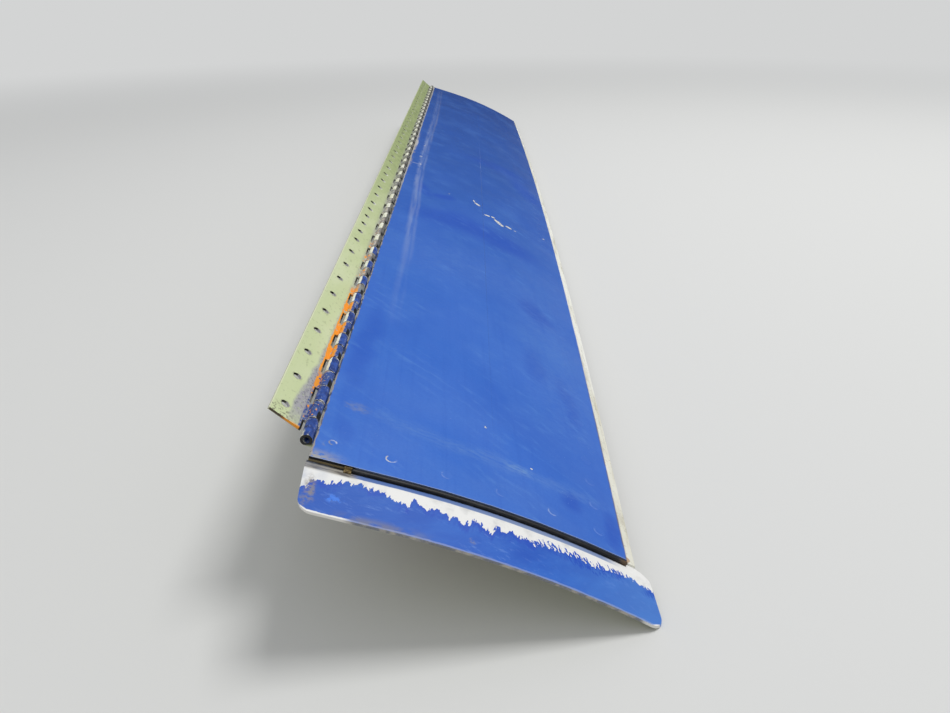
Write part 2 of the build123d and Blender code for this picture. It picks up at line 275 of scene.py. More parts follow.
hazes = (
    # x, y, half length, half width in mm, turn in degrees, strength
    (-20.2, -454.7, 19.0, 3.7, -13, 0.20),
    (6.3, -459.0, 14.0, 4.2, 0, 0.22),
    (18.7, -458.9, 4.6, 2.6, -13, 0.60),
    (35.6, -460.7, 16.0, 3.9, 1, 0.22),
    (42.0, -330.0, 80.0, 16.0, 91, 0.15),
    (5.0, -240.0, 50.0, 40.0, 20, 0.12),
)
# Y in mm at which a mark doesn't show, and at which it shows in full
dust_fades_in = (-400, -470)
grey_streak_fades_in = (60, 260)
bright_edge_fades_in = (-240, -80)
grime_fades_in = (-60, -200)
tan_wear_fades_in, tan_wear_fades_out = (-60, 20), (150, 80)
brown_rim_fades_in = (-260, -420)
# The same in X: the near end's face goes from blue to a painted black shadow beside the hinge
end_shadow_fades_in = (-38, -39)
chip_softness = 0.08
any_height = 1e6
ring_width = 0.50
ring_squash = 0.93
ring_blue = "#8FA8E0"
near_rivets = (
    # x, y and radius in mm, paleness, tint and side of the arc in degrees from X
    (-47.7, -477.7, 1.35, 0.95, "#D9DCE2", 60),
    (-47.7, -477.7, 1.35, 0.80, "#A39C8C", 215),
    (-27.6, -478.7, 1.90, 1.0, "#DDD8C6", 205),
    (-27.6, -478.7, 1.90, 0.7, "#B9C6E4", 290),
    (-8.1, -479.2, 2.0, 0.50, ring_blue, 215),
    (11.3, -479.2, 2.0, 0.30, ring_blue, 215),
    (30.1, -479.2, 1.9, 0.70, "#A9BCE2", 225),
    (47.2, -479.2, 1.9, 0.45, ring_blue, 225),
    (47.8, -462.7, 1.9, 0.50, ring_blue, 225),
    (48.4, -446.2, 1.9, 0.25, ring_blue, 225),
)


def millimetres(tree):
    """Place on the part in millimetres: the vector and its X, Y and Z."""
    coordinate = add(tree, "ShaderNodeTexCoord")
    scaled = {"operation": "SCALE", "Scale": 1000.0}
    place = add(tree, "ShaderNodeVectorMath", scaled, {0: coordinate.outputs["Object"]})
    split = add(tree, "ShaderNodeSeparateXYZ", links={0: place.outputs[0]})
    facing = add(tree, "ShaderNodeSeparateXYZ", links={0: coordinate.outputs["Normal"]})
    return place.outputs[0], split.outputs, facing.outputs


def ramp(tree, value, start, end):
    """0 before start, 1 after end and smooth between; start may be above end."""
    slope = {"From Min": start, "From Max": end, "interpolation_type": "SMOOTHSTEP"}
    if start > end:
        slope.update({"From Min": end, "From Max": start, "To Min": 1.0, "To Max": 0.0})
    return add(tree, "ShaderNodeMapRange", slope, {"Value": value}).outputs[0]


def mottle(tree, place, size_mm, low, high, stretch=(1, 1, 1), turn=0.0, detail=4.0, rough=0.55):
    """Cloudy pattern of about size_mm, cut between two noise levels into a mask."""
    turned = {"vector_type": "TEXTURE", "Rotation": (0, 0, math.radians(turn))}
    turned["Scale"] = tuple(size_mm * s for s in stretch)
    where = add(tree, "ShaderNodeMapping", turned, {"Vector": place})
    kind = {"Scale": 1.0, "Detail": detail, "Roughness": rough}
    cloud = add(tree, "ShaderNodeTexNoise", kind, {"Vector": where.outputs[0]})
    return ramp(tree, cloud.outputs[0], low, high)


def both(tree, *masks):
    """Where every mask holds, as their product; a number only weakens the rest."""
    kept = masks[0]
    for mask in masks[1:]:
        settings, links = {"operation": "MULTIPLY"}, {0: kept}
        if isinstance(mask, (int, float)):
            settings[1] = float(mask)
        else:
            links[1] = mask
        kept = add(tree, "ShaderNodeMath", settings, links).outputs[0]
    return kept


def either(tree, *masks):
    """Where any of the masks holds, as the largest of them."""
    kept = masks[0]
    for mask in masks[1:]:
        kept = add(tree, "ShaderNodeMath", {"operation": "MAXIMUM"}, {0: kept, 1: mask}).outputs[0]
    return kept


def coat(tree, below, above, *masks):
    """Lays a colour, or a socket, over the one below where every mask holds."""
    settings, links = {"data_type": "RGBA"}, {"Factor": both(tree, *masks)}
    for key, colour in ((6, below), (7, above)):
        if isinstance(colour, str):
            settings[key] = linear(colour)
        else:
            links[key] = colour
    return add(tree, "ShaderNodeMix", settings, links).outputs[2]


def ragged(tree, place, size_mm, reach_mm):
    """The place pushed about by up to reach_mm, to give edges a torn outline."""
    where = add(tree, "ShaderNodeMapping", {"Scale": (1 / size_mm,) * 3}, {"Vector": place})
    cloud = add(
        tree, "ShaderNodeTexNoise", {"Scale": 1.0, "Detail": 3.0}, {"Vector": where.outputs[0]}
    )
    half = {"operation": "SUBTRACT", 1: (0.5, 0.5, 0.5)}
    centred = add(tree, "ShaderNodeVectorMath", half, {0: cloud.outputs["Color"]})
    push = {"operation": "MULTIPLY_ADD", 1: (2 * reach_mm,) * 3}
    return add(tree, "ShaderNodeVectorMath", push, {0: centred.outputs[0], 2: place}).outputs[0]


def ragged_axes(tree, place, size_mm, reach_mm):
    """X, Y and Z of the ragged place."""
    pushed = ragged(tree, place, size_mm, reach_mm)
    return add(tree, "ShaderNodeSeparateXYZ", links={0: pushed}).outputs


def seen_from(tree, place, x, y, half_length, half_width, turn=0.0):
    """The place seen from the middle of an ellipse in plan, whose rim is at a length of 1."""
    settings = {
        "vector_type": "TEXTURE",
        "Location": (x, y, 0),
        "Rotation": (0, 0, math.radians(turn)),
        "Scale": (half_length, half_width, any_height),
    }
    return add(tree, "ShaderNodeMapping", settings, {"Vector": place}).outputs[0]


def blot(tree, place, x, y, half_length, half_width, turn, softness):
    """Mask of an ellipse with its long axis turned from X: 1 inside, soft at its rim."""
    inside = seen_from(tree, place, x, y, half_length, half_width, turn)
    reach = add(tree, "ShaderNodeVectorMath", {"operation": "LENGTH"}, {0: inside})
    return ramp(tree, reach.outputs["Value"], 1 + softness, 1 - softness)


def chip(tree, place, x, y, half_length, half_width, turn):
    """Mask of one chip: a blot with a sharp rim."""
    return blot(tree, place, x, y, half_length, half_width, turn, chip_softness)


def traced(tree, value, points):
    """The height of a line at the value; the line runs through the points."""
    low, high = points[0][0], points[-1][0]
    levels = [level for at, level in points]
    bottom, top = min(levels), max(levels)
    across = add(tree, "ShaderNodeMapRange", {"From Min": low, "From Max": high}, {"Value": value})
    line = add(tree, "ShaderNodeFloatCurve", links={"Value": across.outputs[0]})
    curve = line.mapping.curves[0]
    while len(curve.points) < len(points):
        curve.points.new(0.5, 0.5)
    for point, (at, level) in zip(curve.points, points):
        point.location = ((at - low) / (high - low), (level - bottom) / (top - bottom))
        point.handle_type = "VECTOR"
    line.mapping.update()
    raised = {"To Min": bottom, "To Max": top}
    return add(tree, "ShaderNodeMapRange", raised, {"Value": line.outputs[0]}).outputs[0]


def past_line(tree, value, along, points):
    """How far a value lies past the height that a line through the points has there."""
    apart = {0: value, 1: traced(tree, along, points)}
    return add(tree, "ShaderNodeMath", {"operation": "SUBTRACT"}, apart).outputs[0]


def ring(tree, place, x, y, radius, width, towards):
    """Mask of an arc around a rivet head, strongest on the side at the given angle."""
    inside = seen_from(tree, place, x, y, ring_squash * radius, radius)
    reach = add(tree, "ShaderNodeVectorMath", {"operation": "LENGTH"}, {0: inside}).outputs["Value"]
    blur = width / radius
    line = both(tree, ramp(tree, reach, 1 - blur, 1.0), ramp(tree, reach, 1 + blur, 1.0))
    direction = (math.cos(math.radians(towards)), math.sin(math.radians(towards)), 0)
    dot = {"operation": "DOT_PRODUCT", 1: direction}
    side = add(tree, "ShaderNodeVectorMath", dot, {0: inside})
    return both(tree, line, ramp(tree, side.outputs["Value"], 0.0, 0.75))


def past_free_edge(tree, axes):
    """Distance in mm past the blue skin's free edge, which bulges in a flat arc."""
    along = add(tree, "ShaderNodeMath", {"operation": "SUBTRACT", 1: blue_bulge_y}, {0: axes["Y"]})
    twice = {0: along.outputs[0], 1: along.outputs[0]}
    squared = add(tree, "ShaderNodeMath", {"operation": "MULTIPLY"}, twice).outputs[0]
    bulge = {"operation": "MULTIPLY_ADD", 1: 1 / (2 * blue_plan_radius), 2: -blue_reach_x}
    offset = add(tree, "ShaderNodeMath", bulge, {0: squared}).outputs[0]
    return add(tree, "ShaderNodeMath", {"operation": "ADD"}, {0: offset, 1: axes["X"]}).outputs[0]


def blue_paint(tree, place, axes):
    """Old blue gloss: clouds 60 mm across, finer mottle, wiped streaks and hairline scratches."""
    tone = traced(tree, axes["Y"], blue_fading)
    colour = coat(tree, far_blue, paint_blue, tone)
    clouds = mottle(tree, place, 62, 0.36, 0.66, (1, 2.2, 1), 24, 5)
    colour = coat(tree, colour, deep_blue, clouds, tone, 0.45)
    patches = mottle(tree, place, 26, 0.45, 0.72, (1, 1.6, 1), 50, 6, 0.6)
    colour = coat(tree, colour, chalky_blue, patches, 0.22)
    pushed = ragged(tree, place, 20, 5.0)
    for *outline, strength in bruises:
        patch = blot(tree, pushed, *outline, 0.6)
        colour = coat(tree, colour, bruise_blue, patch, strength)
    pushed = ragged(tree, place, 12, 3.0)
    rub_and_highlight = mottle(tree, place, 1.6, 0.26, 0.70, (7, 0.8, 1), -12, 4)
    for *outline, strength in hazes:
        patch = blot(tree, pushed, *outline, 0.7)
        colour = coat(tree, colour, haze_blue, patch, rub_and_highlight, strength)
    wiped = mottle(tree, place, 4, 0.50, 0.76, (0.8, 9, 1), 55, 4)
    colour = coat(tree, colour, chalky_blue, wiped, mottle(tree, place, 40, 0.42, 0.62), 0.50)
    near_dust = mottle(tree, place, 30, 0.30, 0.70, (1.8, 1, 1), -14, 5)
    colour = coat(tree, colour, dust_blue, near_dust, ramp(tree, axes["Y"], *dust_fades_in), 0.22)
    drawn = mottle(tree, place, 3.5, 0.48, 0.76, (0.6, 30, 1), 2, 3)
    colour = coat(tree, colour, deep_blue, drawn, 0.20)
    grain = mottle(tree, place, 1.1, 0.42, 0.66, (1, 1, 1), 0, 3)
    colour = coat(tree, colour, deep_blue, grain, 0.14)
    # Hairline scratches, drawn 0.3 to 0.4 mm wide, which is coarser than real ones, to show
    for turn, size in ((58, 0.34), (-33, 0.40), (78, 0.30)):
        hair = mottle(tree, place, size, 0.71, 0.76, (1, 60, 1), turn, 1.5)
        where = mottle(tree, place, 30, 0.52, 0.64, (1, 1, 1), turn, 2)
        colour = coat(tree, colour, scratch_blue, hair, where, 0.45)
    wobble = ragged(tree, place, 2.5, 0.25)
    broken = mottle(tree, place, 0.9, 0.30, 0.52, (1, 1, 1), 0, 3)
    for x, y, radius, paleness, tint, side in near_rivets:
        line = ring(tree, wobble, x, y, radius, ring_width, side)
        colour = coat(tree, colour, tint, line, broken, paleness)
    return colour


def outer_paint():
    """Gloss paint gone half matt: a soft broken sheen, with the sheet's slight waves under it."""
    material, tree = new_material("worn gloss blue paint on aluminium")
    place, axes, facing = millimetres(tree)
    colour = blue_paint(tree, place, axes)

    # A painted highlight lies along the crown of the crease beside the hinge, in two lines, the
    # second greyer further on
    wavy = ragged_axes(tree, place, 40, 1.0)
    aside = past_line(tree, wavy["X"], axes["Y"], streak_line)
    crown = both(tree, ramp(tree, aside, -3.4, -0.2), ramp(tree, aside, 2.8, 0.2))
    second = both(tree, ramp(tree, aside, 1.6, 3.0), ramp(tree, aside, 5.0, 3.4), 0.6)
    length = traced(tree, axes["Y"], crease_highlight_strength)
    broken = mottle(tree, place, 11, 0.24, 0.60, (0.25, 5, 1), 0, 4)
    rub_and_highlight = both(tree, either(tree, crown, second), length, broken)
    colour = coat(tree, colour, crease_highlight_blue, rub_and_highlight, 0.48)
    # grey on the second line of the painted highlight, further along the door
    grey_streak = both(tree, second, length, ramp(tree, axes["Y"], *grey_streak_fades_in))
    colour = coat(tree, colour, streak_grey, grey_streak, 0.5)
    for *outline, strength in rub_marks:
        mark = chip(tree, ragged(tree, place, 2, 0.6), *outline)
        colour = coat(tree, colour, rub_white, mark, strength)

    # Bare and stained along the hinge edge, grime in the near corner
    torn = ragged_axes(tree, place, 3.2, 0.5)
    inset = add(tree, "ShaderNodeMath", {"operation": "SUBTRACT", 1: hinge_edge_x}, {0: torn["X"]})
    hinge_wear = ramp(tree, past_line(tree, inset.outputs[0], axes["Y"], worn_line), 0.2, -0.1)
    bright_part = ramp(tree, axes["Y"], *bright_edge_fades_in)
    bare = coat(tree, edge_tan, bare_metal, bright_part)
    darker_mask = mottle(tree, place, 3, 0.46, 0.56, (1, 2, 1))
    bare = coat(tree, bare, edge_grime, darker_mask, ramp(tree, axes["Y"], *grime_fades_in))
    colour = coat(tree, colour, bare, hinge_wear, 0.85)
    worn_tan = both(
        tree,
        ramp(tree, torn["X"], hinge_edge_x + 3.4, hinge_edge_x + 0.8),
        ramp(tree, axes["Y"], *tan_wear_fades_in),
        ramp(tree, axes["Y"], *tan_wear_fades_out),
        mottle(tree, place, 6, 0.4, 0.6, (1, 2, 1)),
    )
    colour = coat(tree, colour, pale_tan, worn_tan, 0.9)
    corner = both(
        tree,
        ramp(tree, axes["Y"], near_edge_y + 7.0, near_edge_y + 0.5),
        ramp(tree, axes["X"], hinge_edge_x + 14, hinge_edge_x + 1),
        mottle(tree, place, 1.8, 0.36, 0.52, (1.6, 1, 1), 20, 6, 0.7),
    )
    colour = coat(tree, colour, corner_dust, corner, 0.9)
    for *outline, strength in smudges:
        patch = blot(tree, ragged(tree, place, 4, 1.6), *outline, 0.5)
        speckle = mottle(tree, place, 1.6, 0.30, 0.62, (1.5, 1, 1), 0, 4)
        colour = coat(tree, colour, smudge_grey, patch, speckle, strength)

    # Chips down to the white undercoat, crumbled at their rims
    torn = ragged(tree, place, 1.7, 0.6)
    crumbled = mottle(tree, place, 1.5, 0.36, 0.42, (1, 1, 1), 0, 3)
    for x, y, half_length, half_width, turn in chips:
        rim = chip(tree, torn, x, y, half_length * 1.25, half_width * 1.35, turn)
        colour = coat(tree, colour, chip_rim_blue, rim, 0.35)
        bare = both(tree, chip(tree, torn, x, y, half_length, half_width, turn), crumbled)
        colour = coat(tree, colour, undercoat_white, bare)

    # The sheet's own edges: brown and chipped along the free edge, a pale line on the near edge,
    # dark grime on the hinge side's face and a painted black shadow on the near end's face beside
    # the hinge
    past = past_free_edge(tree, axes)
    rim = ramp(tree, past, -0.60, -0.25)
    flaked = mottle(tree, place, 4, 0.38, 0.56, (1, 3, 1), 0, 4)
    browned = ramp(tree, axes["Y"], *brown_rim_fades_in)
    colour = coat(tree, colour, rim_brown, rim, flaked, browned, 0.8)
    free_face = ramp(tree, facing["X"], 0.66, 0.78)
    cleaner = mottle(tree, place, 6, 0.42, 0.60, (1, 3, 1), 0, 4)
    free_bare = coat(tree, free_edge_rust, free_edge_bare, cleaner)
    colour = coat(tree, colour, free_bare, free_face, 0.9)
    near_line = ramp(tree, axes["Y"], near_edge_y + 0.40, near_edge_y + 0.15)
    colour = coat(tree, colour, near_line_pale, near_line, 0.6)
    # painted black shadow on the near end's face beside the hinge
    end_face = ramp(tree, facing["Y"], -0.5, -0.8)
    end_face_shadow = ramp(tree, axes["X"], *end_shadow_fades_in)
    end_colour = coat(tree, end_face_blue, end_face_shadow_black, end_face_shadow)
    colour = coat(tree, colour, end_colour, end_face)
    side_face = ramp(tree, facing["X"], -0.6, -0.9)
    scraped = mottle(tree, place, 4, 0.44, 0.6, (1, 2.5, 1))
    bare_edge = coat(tree, side_grime, side_bare, scraped, 0.8)
    bare_edge = coat(tree, bare_edge, side_bright, bright_part)
    colour = coat(tree, colour, bare_edge, side_face)
    under = ramp(tree, facing["Z"], -0.2, -0.6)
    colour = coat(tree, colour, underside_primer, under)

    dulled = mottle(tree, place, 38, 0.3, 0.7, (1, 1.8, 1), 24, 5)
    sheen = {"To Min": 0.34, "To Max": 0.50}
    roughness = add(tree, "ShaderNodeMapRange", sheen, {"Value": dulled}).outputs[0]
    peel = add(tree, "ShaderNodeTexNoise", {"Scale": 0.45, "Detail": 3.0}, {"Vector": place})
    sheet_wave = add(tree, "ShaderNodeTexNoise", {"Scale": 0.018, "Detail": 1.0}, {"Vector": place})
    fine = add(
        tree, "ShaderNodeBump", {"Strength": 0.10, "Distance": 0.0002}, {"Height": peel.outputs[0]}
    )
    waved = {"Height": sheet_wave.outputs[0], "Normal": fine.outputs[0]}
    wave = add(tree, "ShaderNodeBump", {"Strength": 0.30, "Distance": 0.004}, waved)
    creased = {"Height": crown, "Normal": wave.outputs[0]}
    crease = add(tree, "ShaderNodeBump", {"Strength": 0.25, "Distance": 0.0006}, creased)
    shader = add(
        tree,
        "ShaderNodeBsdfPrincipled",
        {"IOR": 1.42, "Coat Weight": 0.08, "Coat Roughness": 0.22},
        {"Base Color": colour, "Roughness": roughness, "Normal": crease.outputs[0]},
    )
    finish_material(tree, shader)
    return material


def dress(node, material):
    """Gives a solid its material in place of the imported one."""
    nodes[node].data.materials.clear()
    nodes[node].data.materials.append(material)


dress("outer_skin", outer_paint())


# Inner skin
# Formed aluminium sheet in cream primer. Its lip stands out past the blue skin along the
# free edge, stained tan against the blue and rubbed whiter in the middle of its length.
cream = "#E4E2D2"
cream_light = "#F3F3EA"
cream_dirty = "#A79F86"
speck_brown = "#8B8472"
stain_tan = "#8F7D5C"
stain_rust = "#70503A"
seal_end_rust = "#A8793F"
end_face_tan = "#8A7A58"
side_face_dark = "#4A463E"
# Y in mm at which whiter wear or rust doesn't show, and at which it shows in full
whiter_fades_in, whiter_fades_out = (-330, -250), (-60, -130)
rust_fades_in = (-330, -420)
# The same in X for the stain on the sheet's edges beside the hinge
end_stain_fades_in, side_stain_fades_in = (-38, -40), (-40, -50)
# x, y, half length, half width in mm, turn in degrees
seal_end_spot = (55.0, -487.4, 2.6, 2.0, 0)


def inner_primer():
    """Matt primer: chalky cream without sheen, with dirt drawn out along the edge."""
    material, tree = new_material("cream primer on aluminium")
    place, axes, facing = millimetres(tree)
    colour = coat(tree, cream, cream_light, mottle(tree, place, 20, 0.40, 0.62, (1, 5, 1), 0, 5))
    middle_part = both(
        tree,
        ramp(tree, axes["Y"], *whiter_fades_out),
        ramp(tree, axes["Y"], *whiter_fades_in),
    )
    colour = coat(tree, colour, cream_light, middle_part, 0.6)
    dirt = mottle(tree, place, 5, 0.46, 0.68, (0.6, 6, 1), 0, 6, 0.7)
    colour = coat(tree, colour, cream_dirty, dirt, 0.5)
    specks = mottle(tree, place, 1.3, 0.60, 0.70, (1, 1, 1), 0, 2)
    colour = coat(tree, colour, speck_brown, specks, 0.35)

    # Stain gathers against the blue skin's edge, tan and then rusty at the near end
    past = past_free_edge(tree, axes)
    uneven = mottle(tree, place, 9, 0.36, 0.64, (1, 4, 1), 0, 4)
    colour = coat(tree, colour, stain_tan, ramp(tree, past, 0.9, 0.1), uneven, 0.6)
    rusty = both(tree, ramp(tree, past, 0.6, 0.2), ramp(tree, axes["Y"], *rust_fades_in))
    patchy = mottle(tree, place, 4, 0.30, 0.54, (1, 3, 1), 0, 4)
    colour = coat(tree, colour, stain_rust, rusty, patchy, 0.8)
    rust = chip(tree, ragged(tree, place, 3, 0.8), *seal_end_spot)
    colour = coat(tree, colour, seal_end_rust, rust, 0.7)
    end_face = ramp(tree, facing["Y"], -0.5, -0.8)
    stained = ramp(tree, axes["X"], *end_stain_fades_in)
    colour = coat(tree, colour, end_face_tan, end_face, stained)
    side_face = ramp(tree, facing["X"], -0.6, -0.9)
    stained = ramp(tree, axes["X"], *side_stain_fades_in)
    colour = coat(tree, colour, side_face_dark, side_face, stained, 0.7)
    fine = add(tree, "ShaderNodeTexNoise", {"Scale": 0.8, "Detail": 4.0}, {"Vector": place})
    bump = add(
        tree, "ShaderNodeBump", {"Strength": 0.2, "Distance": 0.0003}, {"Height": fine.outputs[0]}
    )
    shader = add(
        tree,
        "ShaderNodeBsdfPrincipled",
        {"Roughness": 0.62},
        {"Base Color": colour, "Normal": bump.outputs[0]},
    )
    finish_material(tree, shader)
    return material


dress("inner_skin", inner_primer())


# End flange
# Bent aluminium strip in white, brushed over with blue that stops in a ragged line of
# drips and bristle marks. The white is bare on the corners and along the lower edge.
flange_end_y = -510.83
bend_y = -493.48
seal_front_y = -490.88
flange_white = "#F1F0EC"
# painted shade on the flat beside the seal, grey towards the right
shaded_band_grey = "#8496BC"
brushed_blue = "#2F6BCC"
brushed_deep = "#2059C0"
left_blue = "#1F58BA"
right_blue = "#5A8ED8"
thick_blue = "#1749BE"
scuff_blue = "#7097DE"
faint_blue = "#4678CC"
bright_blue = "#3F86F5"
dirty_white = "#DAD9D6"
# painted shade on the flat beside the seal, blue towards the left
shaded_band_blue = "#5B78B4"
flat_tan = "#A39B88"
flat_brown = "#6F6654"
flat_shadow = "#2A2722"
thin_blue = "#A3AEC4"
smudge_brown = "#948B7C"
low_stain_brown = "#8B8578"
lower_line_grey = "#C9CBD2"
cut_edge_grey = "#7F8288"
cut_edge_pale = "#B4AFA4"
cut_edge_white = "#E9E7E0"
# How far drips and bristle marks swing in mm, and X in mm between which that calms down
drip_swing, bristle_swing = 2.6, 3.4
calm_from, calm_to = 44, 58
# X in mm at which a finish doesn't show, and at which it shows in full
slanted_marks_fade_in = (12, 26)
left_blue_fades_in, right_blue_fades_in = (0, -40), (20, 64)
shaded_flat_fades_out = (54, 46)
grey_band_fades_in = (-20, 25)
tan_flat_fades_in = (-36, -40.5)
thin_blue_fades_in = (-44, -53)
low_stain_fades_in, low_stain_fades_out = (-46, -36), (-8, -24)
bare_left_fades_in, bare_right_fades_in = (-37, -41), (57, 60)
# x, y, half length, half width in mm, turn in degrees
bright_spot = (-44.2, -503.9, 2.8, 1.7, 0)
bare_left_corner = (-54.9, -511.8, 8.5, 3.0, -22)
bare_right_corner = (66.4, -511.4, 8.0, 2.6, 20)
flange_smudges = (
    # x, y, half length, half width in mm, turn in degrees, strength
    (-51.6, -501.5, 1.6, 5.0, 6, 0.75),
    (-53.2, -507.0, 1.6, 2.4, 0, 0.4),
    (0.6, -505.6, 0.9, 1.0, 0, 0.5),
)
brushed_line = (
    # x and y in mm of the ragged upper limit of the blue
    (-55.0, -502.5), (-53.1, -501.3), (-51.2, -498.0), (-49.8, -496.9), (-47.0, -497.6),
    (-44.3, -497.3), (-41.6, -495.6), (-40.8, -495.3), (-40.0, -496.7), (-38.3, -495.6),
    (-36.5, -495.3), (-32.6, -496.1), (-28.5, -496.6), (-26.5, -497.2), (-24.9, -498.7),
    (-22.0, -498.2), (-20.4, -499.3), (-18.8, -495.6), (-16.5, -496.4), (-14.1, -498.1),
    (-11.2, -497.0), (-9.0, -498.6), (-7.4, -499.1), (-3.0, -499.1), (-0.8, -499.4),
    (2.2, -496.7), (5.3, -499.0), (7.3, -499.7), (8.6, -497.3), (12.8, -497.2), (15.1, -497.0),
    (18.1, -497.3), (21.3, -498.2), (25.8, -496.4), (29.8, -496.4), (34.5, -496.2),
    (42.9, -497.0), (48.1, -495.8), (53.0, -495.4), (59.7, -496.4), (66.0, -496.9),
)


def flange_paint():
    """Brushed half matt paint: bristle marks catch the light, and the blue stands on the white."""
    material, tree = new_material("blue brushed over white paint")
    place, axes, facing = millimetres(tree)

    # The blue's limit as a curve over X, pushed about by drips and by slanted bristle marks
    wavering = ragged_axes(tree, place, 1.6, 0.35)
    drips = mottle(tree, place, 1.5, 0.30, 0.70, (0.8, 3.0, 1), -10, 3)
    bristles = mottle(tree, place, 0.95, 0.34, 0.66, (0.7, 11, 1), 27, 2)
    right_side = ramp(tree, axes["X"], *slanted_marks_fade_in)
    edges = {0: right_side, 2: drips, 3: bristles}
    jagged = add(tree, "ShaderNodeMix", {"data_type": "FLOAT"}, edges).outputs[0]
    centred = add(tree, "ShaderNodeMath", {"operation": "SUBTRACT", 1: 0.5}, {0: jagged}).outputs[0]
    reaches = {"To Min": drip_swing, "To Max": bristle_swing}
    swing = add(tree, "ShaderNodeMapRange", reaches, {"Value": right_side}).outputs[0]
    calming = {"From Min": calm_from, "From Max": calm_to, "To Min": 1.0, "To Max": 0.4}
    calm = add(tree, "ShaderNodeMapRange", calming, {"Value": axes["X"]}).outputs[0]
    push = {0: axes["Y"], 1: both(tree, centred, swing, calm)}
    shifted = add(tree, "ShaderNodeMath", {"operation": "ADD"}, push).outputs[0]
    below = past_line(tree, shifted, wavering["X"], brushed_line)
    blue_mask = ramp(tree, below, 0.12, -0.12)

    clouds = mottle(tree, place, 14, 0.38, 0.64, (2.4, 1, 1), 20, 5)
    blue = coat(tree, brushed_blue, brushed_deep, clouds)
    blue = coat(tree, blue, left_blue, ramp(tree, axes["X"], *left_blue_fades_in), 0.7)
    blue = coat(tree, blue, right_blue, ramp(tree, axes["X"], *right_blue_fades_in), 0.6)
    thick = mottle(tree, place, 9, 0.40, 0.56, (2, 1, 1), 0, 3)
    blue = coat(tree, blue, thick_blue, ramp(tree, below, -4.2, -0.6), thick, 0.85)
    scuffs = mottle(tree, place, 2.4, 0.52, 0.72, (3.5, 0.7, 1), -16, 5, 0.65)
    blue = coat(tree, blue, scuff_blue, scuffs, mottle(tree, place, 16, 0.40, 0.60), 0.5)
    faint = mottle(tree, place, 9, 0.48, 0.72, (1.5, 1, 1), 0, 6, 0.7)
    blue = coat(tree, blue, faint_blue, faint, 0.35)
    bright = both(
        tree,
        blot(tree, ragged(tree, place, 5, 1.5), *bright_spot, 0.5),
        mottle(tree, place, 1.3, 0.46, 0.58, (1, 1.4, 1), 0, 3),
    )
    blue = coat(tree, blue, bright_blue, bright, 0.7)
    white = coat(tree, flange_white, dirty_white, mottle(tree, place, 6, 0.5, 0.75))
    colour = coat(tree, white, blue, blue_mask)

    # Painted shade on the flat beside the seal, then stain at the hinge side and along the lower
    # edge
    wavering_y = ragged_axes(tree, place, 12, 0.25)["Y"]
    flat = both(
        tree,
        ramp(tree, wavering_y, bend_y + 0.18, bend_y + 0.68),
        ramp(tree, axes["X"], *shaded_flat_fades_out),
    )
    shaded_band = coat(tree, shaded_band_blue, shaded_band_grey, ramp(tree, axes["X"], *grey_band_fades_in))
    colour = coat(tree, colour, shaded_band, flat)
    streaky = mottle(tree, place, 2.5, 0.42, 0.60, (4, 0.5, 1), 0, 3)
    left_flat = both(
        tree,
        ramp(tree, wavering_y, bend_y - 0.72, bend_y + 0.88),
        ramp(tree, axes["X"], *tan_flat_fades_in),
    )
    colour = coat(tree, colour, coat(tree, flat_tan, flat_brown, streaky), left_flat, 0.9)
    beside_seal = ramp(tree, axes["Y"], seal_front_y + 0.28, seal_front_y + 0.68)
    colour = coat(tree, colour, flat_shadow, left_flat, beside_seal)
    thinned = ramp(tree, axes["X"], *thin_blue_fades_in)
    cloudy = mottle(tree, place, 5, 0.3, 0.7)
    colour = coat(tree, colour, thin_blue, thinned, cloudy, 0.5, ramp(tree, below, -0.2, 0.4))
    for *outline, strength in flange_smudges:
        patch = blot(tree, ragged(tree, place, 2.6, 1.0), *outline, 0.5)
        speckle = mottle(tree, place, 1.2, 0.34, 0.60)
        colour = coat(tree, colour, smudge_brown, patch, speckle, strength)
    low_stain = both(
        tree,
        ramp(tree, axes["Y"], flange_end_y + 4.0, flange_end_y + 0.5),
        ramp(tree, axes["X"], *low_stain_fades_in),
        ramp(tree, axes["X"], *low_stain_fades_out),
        mottle(tree, place, 4, 0.36, 0.6, (2, 1, 1)),
    )
    colour = coat(tree, colour, low_stain_brown, low_stain, 0.6)

    # Bare white on the corners and along the lower edge
    torn = ragged_axes(tree, place, 3.0, 0.35)
    lower_line = ramp(tree, torn["Y"], flange_end_y + 0.75, flange_end_y + 0.55)
    left_corner = chip(tree, ragged(tree, place, 4, 0.3), *bare_left_corner)
    right_corner = chip(tree, ragged(tree, place, 4, 0.3), *bare_right_corner)
    left_part = ramp(tree, torn["X"], *bare_left_fades_in)
    colour = coat(tree, colour, lower_line_grey, lower_line, 0.3)
    colour = coat(tree, colour, flange_white, lower_line, left_part)
    colour = coat(tree, colour, flange_white, either(tree, left_corner, right_corner))
    edge_face = either(
        tree, ramp(tree, facing["Y"], -0.6, -0.85), ramp(tree, facing["X"], -0.6, -0.9)
    )
    grey_edge = coat(tree, cut_edge_grey, cut_edge_pale, mottle(tree, place, 5, 0.44, 0.60))
    white_part = either(tree, left_part, ramp(tree, torn["X"], *bare_right_fades_in))
    grey_edge = coat(tree, grey_edge, cut_edge_white, white_part)
    colour = coat(tree, colour, grey_edge, edge_face)
    under = ramp(tree, facing["Z"], -0.3, -0.6)
    colour = coat(tree, colour, underside_primer, under)

    thickness = add(
        tree, "ShaderNodeBump", {"Strength": 0.4, "Distance": 0.00015}, {"Height": blue_mask}
    )
    brush = mottle(tree, place, 1.4, 0.2, 0.8, (5, 0.6, 1), 12, 3)
    brushed = {"Height": brush, "Normal": thickness.outputs[0]}
    marks = add(tree, "ShaderNodeBump", {"Strength": 0.18, "Distance": 0.0002}, brushed)
    shader = add(
        tree,
        "ShaderNodeBsdfPrincipled",
        {"Roughness": 0.50, "IOR": 1.34},
        {"Base Color": colour, "Normal": marks.outputs[0]},
    )
    finish_material(tree, shader)
    return material


dress("end_flange", flange_paint())


